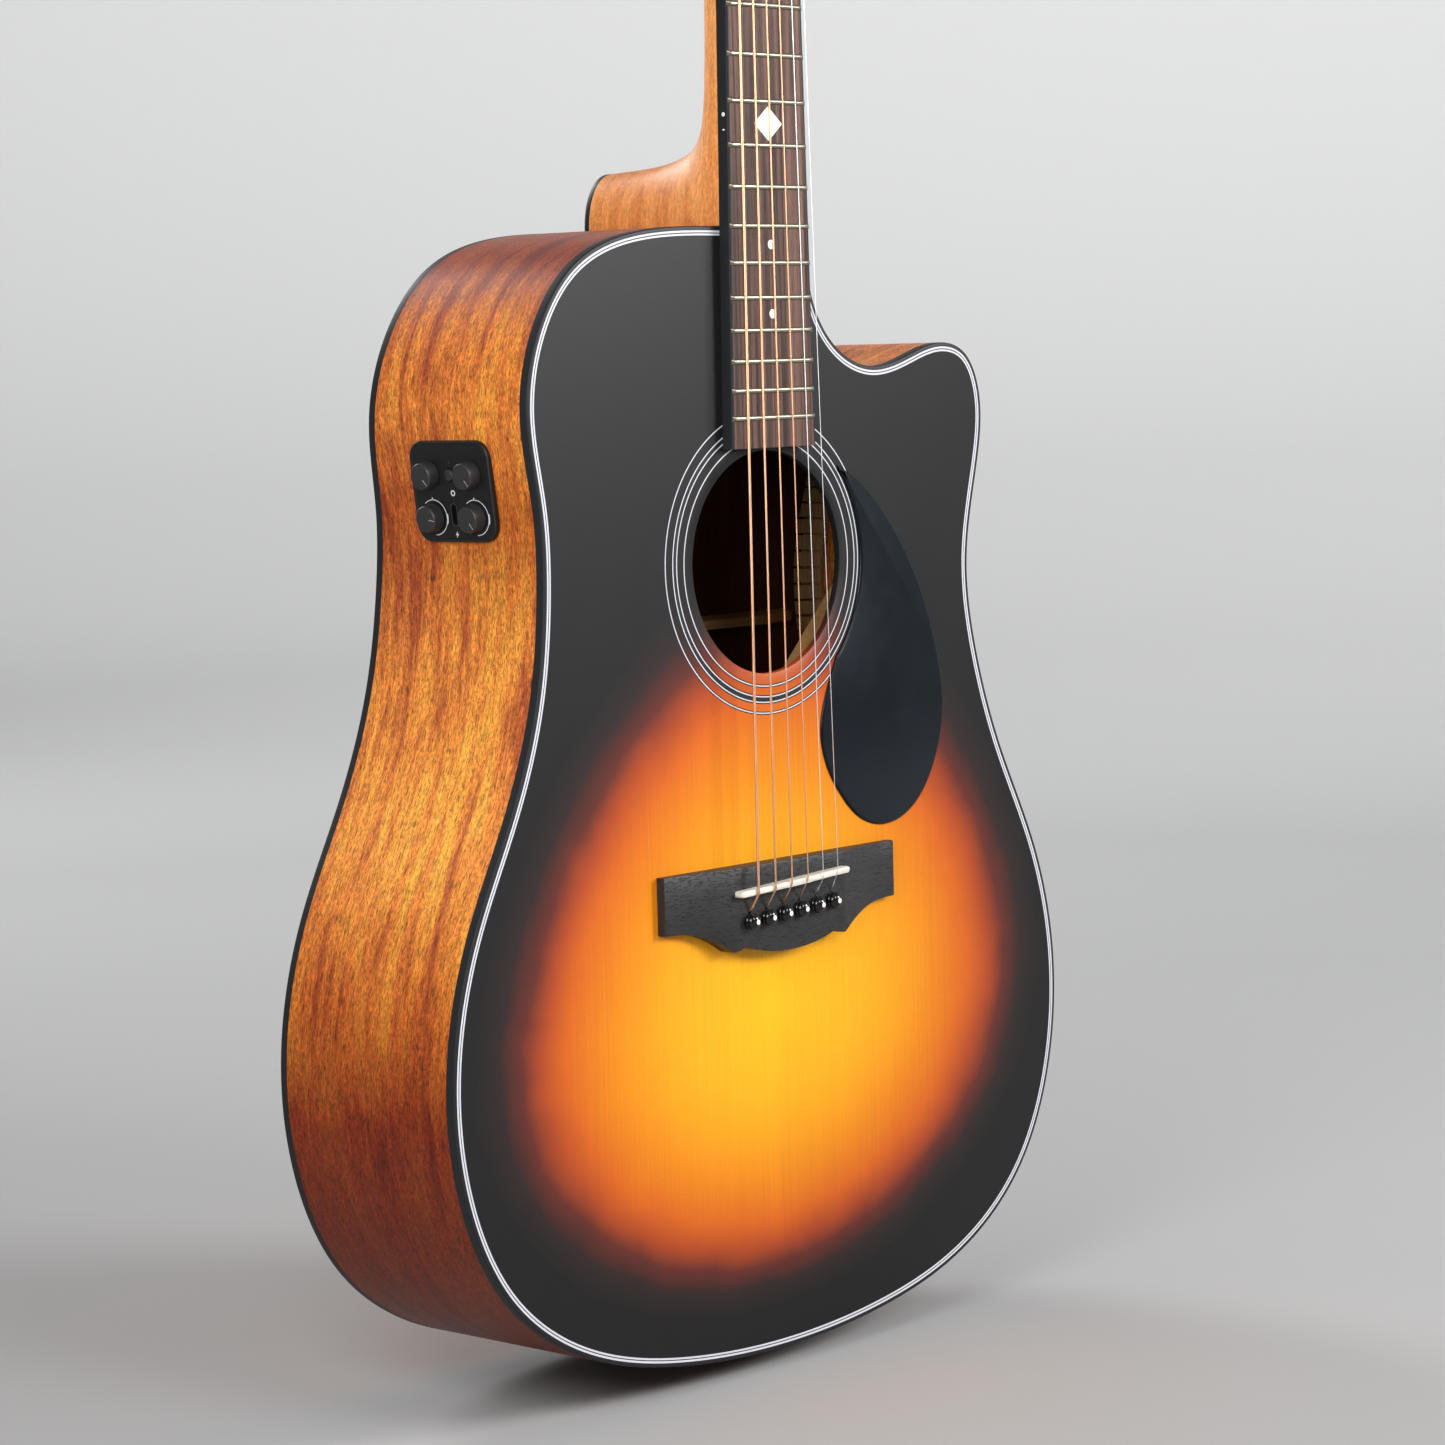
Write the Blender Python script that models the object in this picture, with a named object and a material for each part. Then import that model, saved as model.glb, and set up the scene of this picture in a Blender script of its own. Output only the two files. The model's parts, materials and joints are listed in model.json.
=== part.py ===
"""Steel-string acoustic guitar with a cutaway, a side preamp and six geared tuners.

Lengths below are in millimetres, and the finished model is scaled to metres at the end.
+Z runs from the tail to the headstock, +Y from the soundboard to the back, and +X to the
treble side. The origin is on the fretboard's face at the nut, where the string scale starts.
"""
import math

import bmesh
import bpy
import numpy as np
from mathutils import Matrix, Vector

MM = 0.001
GAP = 0.3                    # air between two pieces that touch on the real object

# Strings and fretboard
SCALE = 650.0
FRETS = 20
NUT_HALF = 21.5
FRET20_HALF = 28.1
BOARD_END = -458.6
BOARD_THICK = 6.0
BOARD_CROWN = 0.6
FRET_HEIGHT = 1.0
FRET_HALF = 1.1
STRING_RADII = [0.67, 0.53, 0.41, 0.31, 0.21, 0.16]
NUT_SPREAD = 36.0
SADDLE_SPREAD = 55.0
PIN_SPREAD = 56.4
STRING_Y_NUT = -1.9
STRING_Y_SADDLE = -8.0
SADDLE_CROWN = 0.9

# Body
TOP_Y = 6.0
TOP_THICK = 3.0
BACK_THICK = 2.5
BACK_RADIUS = 3000.0         # the back is part of a sphere
BACK_PEAK_Y = 120.0
BACK_PEAK_Z = -724.0
BODY_TOP_Z = -360.4
SIDE_THICK = 2.3
BINDING_WIDTH = 1.9
BINDING_FRONT_DEPTH = 4.5
BINDING_BACK_DEPTH = 4.0
LINING_THICK = 6.0
LINING_DEPTH = 14.0
NECK_BLOCK_X = (-38.0, 27.0)
NECK_BLOCK_LOW_Z = -414.0
TAIL_BLOCK_HALF = 35.0
TAIL_BLOCK_Z = (-841.0, -858.1, -864.0)  # inner face, the notches' floor, and outer face
OUTLINE_STEPS = 2            # straight facets between two outline points

TREBLE_SHOULDER = [(30, -360.4), (32, -378), (38, -398.5), (52.6, -415.4), (76, -423.8),
                   (103, -419.2), (128, -413.8), (145.5, -418.7), (156, -437), (153.5, -471)]
LOWER_HALF = [(144.2, -516), (150, -560), (167.5, -608), (192, -656.8), (206.2, -712),
              (202, -764.5), (177.5, -814), (129.6, -848), (72, -863.4)]
TAIL = (0, -868.8)
BASS_SHOULDER = [(-145.1, -481.5), (-151.1, -440), (-145.2, -410), (-122.1, -378.4),
                 (-70, -361.6), (-20, -360.4), (26, -360.4)]

# Braces: start, end, width and height, and how far the straight bars stay off the domed back
TOP_BARS = [((-128, -462), (164, -754), 7, 13), ((128, -462), (-164, -754), 7, 12.4),
            ((-137, -450), (137, -450), 9, 14), ((-112, -704), (70, -775), 6, 9),
            ((-142, -736), (20, -812), 6, 8), ((-71, -451), (-66, -532), 5, 6),
            ((71, -451), (66, -532), 5, 6)]
BACK_BARS = [((0, -418), (0, -836), 14, 3), ((-134, -452), (134, -452), 7, 12),
             ((-130, -545), (130, -545), 7, 13), ((-172, -655), (172, -655), 14, 9),
             ((-180, -755), (180, -755), 14, 8.6)]
BACK_GLUE = 0.25

# Soundhole, rosette and pickguard
HOLE_Z = -510.0
HOLE_RADIUS = 50.0
ROSETTE_INNER = 55.5
ROSETTE_OUTER = 68.5
ROSETTE_DEPTH = 1.2
GUARD_THICK = 1.2
GUARD_INNER_RADIUS = 64.5
GUARD_ARC = (40.0, -45.0)    # degrees, where the edge along the rosette starts and ends
GUARD_EDGE = [(38, -572), (33.6, -588), (38, -607), (47, -620), (59, -631), (79, -636.5),
              (99, -630), (117, -607), (122.5, -583), (119, -559), (107, -527), (87, -497),
              (59, -473)]

# Bridge: half span, then z of its upper edge, its lower edge and its thickness at each x
BRIDGE_STATIONS = [(0, -644, -684.9, 8.6), (14, -644, -683.9, 8.6), (30, -644, -681.0, 8.6),
                   (38.5, -644, -681.4, 8.2), (46, -644, -677.2, 7.0), (54, -644, -673.6, 5.7),
                   (64, -644, -670.9, 4.7), (78, -644, -669.9, 4.2), (79, -645, -668.9, 3.4)]
BRIDGE_CHAMFER = 1.0
SADDLE_LENGTH = 75.0
SADDLE_THICK = 3.0
SADDLE_Z = -654.0
SADDLE_SLANT = 3.6           # how much nearer the neck the treble end is
PIN_Z = -667.2
PIN_SLANT = 3.0
PIN_RADIUS = 2.6
PIN_LENGTH = 24.0
PLATE_CORNERS = [(-38, -641), (38, -641), (76, -688), (-76, -688)]
PLATE_THICK = 2.6

# Neck stations: flat side (y, z), rounded side (y, z), half width, squareness of the section
HEEL_Z = BODY_TOP_Z + GAP
HEEL_FLOOR = 93.5
HEEL_CAP_THICK = 3.0
HEEL_STATIONS = [((HEEL_FLOOR, HEEL_Z), (HEEL_FLOOR, -333.0), 18.0, 2.2),
                 ((68, HEEL_Z), (77, -332.2), 18.6, 2.2),
                 ((42, HEEL_Z), (60, -330.6), 20.4, 2.2),
                 ((22, HEEL_Z), (48, -328.0), 23.6, 2.2),
                 ((TOP_Y, HEEL_Z), (38, -323.6), 26.8, 2.2),
                 ((TOP_Y, -345), (31, -316.5), 26.6, 2.2),
                 ((TOP_Y, -325), (26.6, -306), 26.3, 2.2),
                 ((TOP_Y, -295), (24.4, -288), 25.8, 2.2),
                 ((TOP_Y, -250), (23.4, -249), 25.2, 2.2),
                 ((TOP_Y, -120), (22.0, -120), 23.3, 2.2),
                 ((TOP_Y, -10), (20.8, -10), 21.6, 2.2),
                 ((TOP_Y, 0.5), (20.4, -1.5), 21.5, 2.3)]
NECK_STEPS = 2               # sections between two stations
HEAD_ANGLE = math.radians(14.0)
HEAD_THICK = 14.0
HEAD_START = (TOP_Y, 6.3)
# Headstock stations: distance from the nut along the headstock, half width, squareness
HEAD_STATIONS = [(0, 21.8, 2.8), (8, 23.4, 4.5), (18, 28.0, 7.0), (28, 31.6, 9.0), (44, 32.8, 10.0),
                 (80, 34.2, 10.0), (120, 35.8, 10.0), (150, 37.0, 10.0), (160, 36.4, 10.0),
                 (166, 32.0, 10.0), (169.5, 20.0, 10.0), (170.5, 6.0, 10.0)]
VENEER_THICK = 1.2
ROD_HALF = 3.0
ROD_DEPTH = 9.5
ROD_Z = (-352.0, -13.0)
CHANNEL_Z = (-380.0, -12.0)  # open at the heel, where the rod is reached

# Tuners: distance of each pair of posts from the nut, and the geared parts
POST_DISTANCES = [38.0, 80.0, 122.0]
POST_X = 26.0
POST_RADIUS = 3.0
POST_HEIGHT = 13.0
BUSHING_RADIUS = 5.0
WHEEL_RADIUS = 5.0
WORM_RADIUS = 2.4
WORM_OFFSET = WHEEL_RADIUS + WORM_RADIUS + GAP
CASE_SIZE = (19.0, 24.0, 11.0)
CASE_WALL = 1.4
SHAFT_RADIUS = 2.0
BUTTON_X = 25.0
BUTTON_SIZE = (8.0, 17.0, 12.0)

# Preamp on the bass side
PREAMP_Y = 54.0
PREAMP_Z = -472.0
PREAMP_OUT = 0.5             # how far the flat plate stands off the curved side at its middle
PANEL_SIZE = (48.0, 44.0)
PANEL_CORNER = 8.0
PANEL_THICK = 2.0
PREAMP_BOX = (40.0, 36.0, 18.0)
KNOB_X = 12.6
KNOB_YS = (7.4, -11.2)
KNOB_RADIUS = 5.85
KNOB_HEIGHT = 5.6
KNOB_SHAFT = 2.5
POWER_Y = 7.4
POWER_RADIUS = 2.6
PORT_Y = -10.0

# End pin with the output socket
JACK_Y = 61.0
JACK_RADIUS = 6.0
SOCKET_RADIUS = 3.3
JACK_OUT = 12.0              # how far the button stands out of the tail
JACK_IN = 29.0


# --- shape helpers -------------------------------------------------------------------------

def clear_scene():
    for old in list(bpy.data.objects):
        bpy.data.objects.remove(old)


def material(name, colour, roughness, metallic=0.0):
    made = bpy.data.materials.new(name)
    made.use_nodes = True
    shader = made.node_tree.nodes["Principled BSDF"]
    shader.inputs["Base Color"].default_value = (*colour, 1.0)
    shader.inputs["Roughness"].default_value = roughness
    shader.inputs["Metallic"].default_value = metallic
    return made


def natural_spline(points, steps):
    """Samples of the smooth open curve through the points, with steps samples per interval."""
    p = np.array(points, float)
    h = np.linalg.norm(np.diff(p, axis=0), axis=1)
    count = len(p)
    system = np.eye(count)
    slopes = np.zeros_like(p)
    for i in range(1, count - 1):
        system[i, i - 1:i + 2] = (h[i - 1], 2 * (h[i - 1] + h[i]), h[i])
        slopes[i] = 6 * ((p[i + 1] - p[i]) / h[i] - (p[i] - p[i - 1]) / h[i - 1])
    bend = np.linalg.solve(system, slopes)
    samples = []
    for i in range(count - 1):
        for step in range(steps):
            t = step / steps
            a, b = 1 - t, t
            curve = ((a ** 3 - a) * bend[i] + (b ** 3 - b) * bend[i + 1]) * h[i] ** 2 / 6
            samples.append(a * p[i] + b * p[i + 1] + curve)
    samples.append(p[-1])
    return np.array(samples)


def inset(outline, distance):
    """The closed outline moved inwards by distance, with mitred corners."""
    ahead = np.roll(outline, -1, axis=0) - outline
    normals = np.stack([ahead[:, 1], -ahead[:, 0]], axis=1)
    normals /= np.linalg.norm(normals, axis=1)[:, None]
    before = np.roll(normals, 1, axis=0)
    mitre = (normals + before) / (1 + (normals * before).sum(axis=1))[:, None]
    return outline + distance * mitre


def place_mesh(name, mesh, finish, matrix=None):
    """Puts a mesh in the scene as an object, with its faces out and its round parts smooth."""
    shell = bmesh.new()
    shell.from_mesh(mesh)
    bmesh.ops.recalc_face_normals(shell, faces=shell.faces)
    shell.to_mesh(mesh)
    shell.free()
    mesh.shade_smooth()
    mesh.set_sharp_from_angle(angle=math.radians(35))
    mesh.materials.append(finish)
    made = bpy.data.objects.new(name, mesh)
    bpy.context.scene.collection.objects.link(made)
    if matrix is not None:
        made.matrix_world = matrix
    return made


def loft(name, rings, finish, matrix=None, closed=False):
    """A solid skin over rings of equally many points, capped at its ends unless it closes."""
    size = len(rings[0])
    verts = [tuple(float(c) for c in point) for ring in rings for point in ring]
    faces = []
    pairs = len(rings) if closed else len(rings) - 1
    for i in range(pairs):
        here, there = i * size, (i + 1) % len(rings) * size
        for j in range(size):
            k = (j + 1) % size
            faces.append((here + j, here + k, there + k, there + j))
    if not closed:
        faces.append(tuple(range(size)))
        faces.append(tuple(range(len(verts) - size, len(verts))))
    mesh = bpy.data.meshes.new(name)
    mesh.from_pydata(verts, [], faces)
    return place_mesh(name, mesh, finish, matrix)


def turned(name, profile, sides, finish, matrix=None, closed=False):
    """A solid turned about local Z from (radius, height) points; closed leaves it hollow."""
    rings = []
    for radius, height in profile:
        turns = [2 * math.pi * k / sides for k in range(sides)]
        rings.append([(radius * math.cos(t), radius * math.sin(t), height) for t in turns])
    return loft(name, rings, finish, matrix, closed)


def block(name, low, high, finish, matrix=None):
    """A box between two corners."""
    (x0, y0, z0), (x1, y1, z1) = low, high
    rings = [[(x0, y0, z), (x1, y0, z), (x1, y1, z), (x0, y1, z)] for z in (z0, z1)]
    return loft(name, rings, finish, matrix)


def rounded(half_x, half_y, corner, steps=4):
    """Points of a rectangle with round corners, anticlockwise about its middle."""
    points = []
    for quarter, (sx, sy) in enumerate([(1, 1), (-1, 1), (-1, -1), (1, -1)]):
        for step in range(steps + 1):
            turn = math.pi / 2 * (quarter + step / steps)
            points.append((sx * (half_x - corner) + corner * math.cos(turn),
                           sy * (half_y - corner) + corner * math.sin(turn)))
    return points


def combine(target, tool, operation):
    """Joins or cuts the target with the tool, and removes the tool."""
    step = target.modifiers.new("step", "BOOLEAN")
    step.operation = operation
    step.solver = "EXACT"
    step.object = tool
    bpy.context.view_layer.update()
    graph = bpy.context.evaluated_depsgraph_get()
    result = bpy.data.meshes.new_from_object(target.evaluated_get(graph))
    target.modifiers.clear()
    target.data = result
    bpy.data.objects.remove(tool)


def to_metres():
    for piece in bpy.data.objects:
        piece.data.transform(Matrix.Scale(MM, 4))
        piece.location *= MM


def cut(target, tool):
    combine(target, tool, "DIFFERENCE")


def join(target, tool):
    combine(target, tool, "UNION")


# --- places --------------------------------------------------------------------------------

def body_outline():
    """Outer edge of the body as (x, z) points: down the treble side, round the tail and back."""
    mirrored = [(-x, z) for x, z in reversed(LOWER_HALF)]
    route = TREBLE_SHOULDER + LOWER_HALF + [TAIL] + mirrored + BASS_SHOULDER
    return natural_spline(route, OUTLINE_STEPS)


def tail_index():
    return (len(TREBLE_SHOULDER) + len(LOWER_HALF)) * OUTLINE_STEPS


def back_y(x, z):
    """Height of the domed back's outer face."""
    return BACK_PEAK_Y - (x * x + (z - BACK_PEAK_Z) ** 2) / (2 * BACK_RADIUS)


def fret_z(number):
    return -SCALE * (1 - 2 ** (-number / 12))


def board_half(z):
    return NUT_HALF + (FRET20_HALF - NUT_HALF) * z / fret_z(FRETS)


def string_share(index):
    """-1 for the lowest string to +1 for the highest."""
    return (index - 2.5) / 2.5


def head_point(distance, x=0.0, out=0.0):
    """A point on the headstock: distance from the nut, x, and height out of its front face."""
    y, z = HEAD_START
    sine, cosine = math.sin(HEAD_ANGLE), math.cos(HEAD_ANGLE)
    return (x, y + distance * sine - out * cosine, z + distance * cosine + out * sine)


def turn_to_front(x, y, z):
    """A frame whose local Z points out of the soundboard."""
    return Matrix.Translation((x, y, z)) @ Matrix.Rotation(math.pi / 2, 4, "X")


def post_place(index):
    """Side (-1 bass, +1 treble) and distance from the nut of string number index's post."""
    if index < 3:
        return -1, POST_DISTANCES[index]
    return 1, POST_DISTANCES[5 - index]


def tuner_frame(index):
    """Local X points outboard and local Z out of the headstock's face, along the post."""
    side, distance = post_place(index)
    outboard = Vector((side, 0, 0))
    out = Vector((0, -math.cos(HEAD_ANGLE), math.sin(HEAD_ANGLE)))
    frame = Matrix((outboard, out.cross(outboard), out)).transposed().to_4x4()
    frame.translation = Vector(head_point(distance, side * POST_X))
    return frame


def preamp_frame(outline):
    """Local X points to the front, Y up along the side and Z out of the body."""
    bass = outline[tail_index():]
    x = float(np.interp(PREAMP_Z, bass[:, 1], bass[:, 0]))
    high = float(np.interp(PREAMP_Z + PANEL_SIZE[1] / 2, bass[:, 1], bass[:, 0]))
    low = float(np.interp(PREAMP_Z - PANEL_SIZE[1] / 2, bass[:, 1], bass[:, 0]))
    up = Vector((high - low, 0, PANEL_SIZE[1])).normalized()
    front = Vector((0, -1, 0))
    frame = Matrix((front, up, front.cross(up))).transposed().to_4x4()
    frame.translation = Vector((x - PREAMP_OUT, PREAMP_Y, PREAMP_Z))
    return frame


# --- body ----------------------------------------------------------------------------------

def flat_ring(points, y):
    return [(x, y, z) for x, z in points]


def hole_ring(outline, radius, y):
    """A circle about the soundhole with a point in the direction of each outline point."""
    turns = [math.atan2(z - HOLE_Z, x) for x, z in outline]
    return [(radius * math.cos(t), y, HOLE_Z + radius * math.sin(t)) for t in turns]


def soundboard(outline, finish):
    edge = inset(outline, BINDING_WIDTH + GAP)
    back = TOP_Y + TOP_THICK
    floor = TOP_Y + ROSETTE_DEPTH + GAP
    outer, inner = ROSETTE_OUTER + GAP, ROSETTE_INNER - GAP
    rings = [flat_ring(edge, TOP_Y), hole_ring(edge, outer, TOP_Y), hole_ring(edge, outer, floor),
             hole_ring(edge, inner, floor), hole_ring(edge, inner, TOP_Y),
             hole_ring(edge, HOLE_RADIUS, TOP_Y), hole_ring(edge, HOLE_RADIUS, back),
             flat_ring(edge, back)]
    return loft("soundboard", rings, finish, closed=True)


def back_plate(outline, finish):
    edge = inset(outline, BINDING_WIDTH + GAP)
    middle = np.array([0, -600.0])
    outside, inside = [], []
    for share in (0.03, 0.3, 0.56, 0.8, 1.0):
        ring = middle + (edge - middle) * share
        outside.append([(x, back_y(x, z), z) for x, z in ring])
        inside.insert(0, [(x, back_y(x, z) - BACK_THICK, z) for x, z in ring])
    return loft("back_plate", outside + inside, finish)


def strip_rings(outer, inner, front, back):
    """Sections of a band standing between two parallel outlines; front and back give y."""
    rings = []
    for (xo, zo), (xi, zi) in zip(outer, inner):
        rings.append([(xo, front(xo, zo), zo), (xo, back(xo, zo), zo),
                      (xi, back(xi, zi), zi), (xi, front(xi, zi), zi)])
    return rings


def sides(outline, finish):
    """Two bent ribs that meet at the tail."""
    outer, inner = inset(outline, 0.1), inset(outline, 0.1 + SIDE_THICK)
    tail = tail_index()
    spans = {"side_treble": (0, tail), "side_bass": (tail, len(outline) - 1)}
    made = []
    for name, (first, last) in spans.items():
        edges = [outer[first:last + 1].copy(), inner[first:last + 1].copy()]
        for edge in edges:
            if first:
                edge[0, 0] = -GAP / 2
            else:
                edge[-1, 0] = GAP / 2
        rings = strip_rings(*edges, lambda x, z: TOP_Y + BINDING_FRONT_DEPTH + GAP,
                            lambda x, z: back_y(x, z) - BINDING_BACK_DEPTH - GAP)
        made.append(loft(name, rings, finish))
    return made


def bindings(outline, finish):
    inner = inset(outline, BINDING_WIDTH)
    front = strip_rings(outline, inner, lambda x, z: TOP_Y, lambda x, z: TOP_Y + BINDING_FRONT_DEPTH)
    back = strip_rings(outline, inner, lambda x, z: back_y(x, z) - BINDING_BACK_DEPTH, back_y)
    loft("binding_front", front, finish, closed=True)
    loft("binding_back", back, finish, closed=True)


def linings(outline, finish):
    """Two strips inside the ribs, from below the cutaway round the tail to the neck block."""
    start = 4 * OUTLINE_STEPS
    stop = len(outline) - 2 * OUTLINE_STEPS
    near = 0.1 + SIDE_THICK + GAP
    outer, inner = inset(outline, near)[start:stop], inset(outline, near + LINING_THICK)[start:stop]
    top = TOP_Y + TOP_THICK + GAP
    floor = BACK_THICK + GAP
    front = strip_rings(outer, inner, lambda x, z: top, lambda x, z: top + LINING_DEPTH)
    back = strip_rings(outer, inner, lambda x, z: back_y(x, z) - floor - LINING_DEPTH,
                       lambda x, z: back_y(x, z) - floor)
    loft("kerfed_lining_front", front, finish)
    loft("kerfed_lining_back", back, finish)


def neck_block(finish):
    low_x, high_x = NECK_BLOCK_X
    top = TOP_Y + TOP_THICK + GAP
    rings = []
    for z in (NECK_BLOCK_LOW_Z, BODY_TOP_Z - 0.1 - SIDE_THICK - 2 * GAP):
        floor = min(back_y(low_x, z), back_y(high_x, z)) - BACK_THICK - GAP
        rings.append([(low_x, top, z), (high_x, top, z), (high_x, floor, z), (low_x, floor, z)])
    loft("neck_block", rings, finish)


def tail_block(finish):
    """A block whose outer face is notched around both linings."""
    top = TOP_Y + TOP_THICK + GAP
    inner_z, notch_z, outer_z = TAIL_BLOCK_Z
    deep = back_y(TAIL_BLOCK_HALF, outer_z) - BACK_THICK - 2 * GAP
    notch = LINING_DEPTH + 2 * GAP
    section = [(top, inner_z), (top, notch_z), (top + notch, notch_z), (top + notch, outer_z),
               (deep - notch, outer_z), (deep - notch, notch_z), (deep, notch_z), (deep, inner_z)]
    rings = [[(x, y, z) for y, z in section] for x in (-TAIL_BLOCK_HALF, TAIL_BLOCK_HALF)]
    return loft("tail_block", rings, finish)


def brace(name, start, end, width, height, surface, inward, finish):
    """A bar on a plate, its ends planed down; surface gives the plate's inner y."""
    a, b = np.array(start, float), np.array(end, float)
    along = (b - a) / np.linalg.norm(b - a)
    across = np.array([-along[1], along[0]]) * width / 2
    rings = []
    for share in (0.0, 0.12, 0.5, 0.88, 1.0):
        tall = height * (0.3 if share in (0.0, 1.0) else 1.0) * inward
        x, z = a + (b - a) * share
        y = surface(x, z) + GAP * inward
        left, right = (x + across[0], z + across[1]), (x - across[0], z - across[1])
        rings.append([(left[0], y, left[1]), (right[0], y, right[1]),
                      (x - across[0] * 0.6, y + tall, z - across[1] * 0.6),
                      (x + across[0] * 0.6, y + tall, z + across[1] * 0.6)])
    return loft(name, rings, finish)


def bracing(name, bars, surface, inward, finish):
    """Bars joined into one glued frame."""
    frame, *others = [brace(name, *bar, surface, inward, finish) for bar in bars]
    for bar in others:
        join(frame, bar)


def top_bracing(finish):
    bracing("top_bracing", TOP_BARS, lambda x, z: TOP_Y + TOP_THICK, 1, finish)


def back_bracing(finish):
    bracing("back_bracing", BACK_BARS, lambda x, z: back_y(x, z) - BACK_THICK - BACK_GLUE, -1, finish)


def rosette(finish):
    top, floor = TOP_Y, TOP_Y + ROSETTE_DEPTH
    profile = [(ROSETTE_INNER, -top), (ROSETTE_OUTER, -top), (ROSETTE_OUTER, -floor),
               (ROSETTE_INNER, -floor)]
    turned("rosette", profile, 48, finish, turn_to_front(0, 0, HOLE_Z), closed=True)


def pickguard(finish):
    arc = []
    for step in range(9):
        turn = math.radians(GUARD_ARC[0] + (GUARD_ARC[1] - GUARD_ARC[0]) * step / 8)
        arc.append((GUARD_INNER_RADIUS * math.cos(turn), HOLE_Z + GUARD_INNER_RADIUS * math.sin(turn)))
    edge = natural_spline([arc[-1]] + GUARD_EDGE + [arc[0]], 3)[1:-1]
    outline = arc + [tuple(point) for point in edge]
    back = TOP_Y - GAP
    loft("pickguard", [flat_ring(outline, back), flat_ring(outline, back - GUARD_THICK)], finish)


# --- bridge --------------------------------------------------------------------------------

def bridge_section(x, top_z, low_z, thick):
    base, face = TOP_Y - GAP, TOP_Y - GAP - thick
    edge = BRIDGE_CHAMFER
    return [(x, base, top_z), (x, face + edge, top_z), (x, face, top_z - edge),
            (x, face, low_z + edge), (x, face + edge, low_z), (x, base, low_z)]


def saddle_z(x):
    return SADDLE_Z + SADDLE_SLANT * x / SADDLE_LENGTH


def pin_x(index):
    return string_share(index) * PIN_SPREAD / 2


def pin_z(index):
    return PIN_Z + PIN_SLANT * string_share(index) / 2


def saddle_frame():
    slant = math.atan2(SADDLE_SLANT, SADDLE_LENGTH)
    return Matrix.Translation((0, 0, SADDLE_Z)) @ Matrix.Rotation(-slant, 4, "Y")


def bridge(finish):
    stations = [(-x, *rest) for x, *rest in reversed(BRIDGE_STATIONS[1:])] + BRIDGE_STATIONS
    made = loft("bridge", [bridge_section(*station) for station in stations], finish)
    slot = SADDLE_THICK / 2 + GAP
    length = SADDLE_LENGTH / 2 + GAP
    cut(made, block("slot", (-length, -20, -slot), (length, 1.0, slot), finish, saddle_frame()))
    return made


def saddle(finish):
    """A bone strip with a crowned crest, standing in the bridge's slot."""
    rings = []
    for step in range(9):
        x = SADDLE_LENGTH * (step / 8 - 0.5)
        crest = STRING_Y_SADDLE + STRING_RADII[0] + GAP
        crest -= SADDLE_CROWN * max(0.0, 1 - (2 * x / SADDLE_SPREAD) ** 2)
        half = SADDLE_THICK / 2
        rings.append([(x, 0.7, -half), (x, crest + 0.6, -half), (x, crest, -half * 0.3),
                      (x, crest, half * 0.3), (x, crest + 0.6, half), (x, 0.7, half)])
    loft("saddle", rings, finish, saddle_frame())


def bridge_plate(finish):
    """A hardwood patch between the legs of the cross brace, under the pins."""
    top = TOP_Y + TOP_THICK + GAP
    rings = [flat_ring(PLATE_CORNERS, top), flat_ring(PLATE_CORNERS, top + PLATE_THICK)]
    return loft("bridge_plate", rings, finish)


def bridge_pins(finish):
    """Six pins, each with a domed head over a collar; their holes run through to the plate."""
    profile = [(1.6, 3.6), (3.4, 2.6), (3.9, 1.2), (3.4, 0.0), (PIN_RADIUS, 0.0),
               (2.3, -PIN_LENGTH)]
    for index in range(6):
        place = turn_to_front(pin_x(index), bridge_face() - GAP, pin_z(index))
        turned(f"bridge_pin_{index + 1}", profile, 10, finish, place)


def bridge_face():
    return TOP_Y - GAP - BRIDGE_STATIONS[0][3]


def drill_pin_holes(targets, finish):
    for target in targets:
        for index in range(6):
            place = turn_to_front(pin_x(index), 0, pin_z(index))
            hole = [(PIN_RADIUS + GAP, 20.0), (PIN_RADIUS + GAP, -30.0)]
            cut(target, turned("drill", hole, 10, finish, place))


# --- neck ----------------------------------------------------------------------------------

def neck_stations():
    """From the heel to the top of the headstock: flat side, rounded side, half width, squareness."""
    stations = list(HEEL_STATIONS)
    for distance, half, square in HEAD_STATIONS:
        stations.append((head_point(distance)[1:], head_point(distance, out=-HEAD_THICK)[1:],
                         half, square))
    return stations


def neck_section(flat, deep, half, square):
    ring = []
    for step in range(13):
        turn = math.pi * step / 12
        cosine, sine = math.cos(turn), math.sin(turn)
        x = half * math.copysign(abs(cosine) ** (2 / square), cosine)
        sink = abs(sine) ** (2 / square)
        ring.append((x, flat[0] + (deep[0] - flat[0]) * sink, flat[1] + (deep[1] - flat[1]) * sink))
    return ring


def neck(finish):
    stations = neck_stations()
    shape = [(*deep, half, square) for _, deep, half, square in stations]
    rings = []
    for number, (y, z, half, square) in enumerate(natural_spline(shape, NECK_STEPS)):
        here = min(number // NECK_STEPS, len(stations) - 2)
        share = number / NECK_STEPS - here
        flat = np.array(stations[here][0]) * (1 - share) + np.array(stations[here + 1][0]) * share
        rings.append(neck_section(flat, (y, z), half, square))
    made = loft("neck", rings, finish)
    channel = ROD_HALF + GAP
    low, high = (-channel, 0, CHANNEL_Z[0]), (channel, TOP_Y + ROD_DEPTH + 3 * GAP, CHANNEL_Z[1])
    cut(made, block("channel", low, high, finish))
    drill_tuner_holes(made, finish)


def drill_tuner_holes(target, finish):
    hole = [(BUSHING_RADIUS + GAP, 40.0), (BUSHING_RADIUS + GAP, -40.0)]
    for index in range(6):
        cut(target, turned("drill", hole, 12, finish, tuner_frame(index)))


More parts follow.
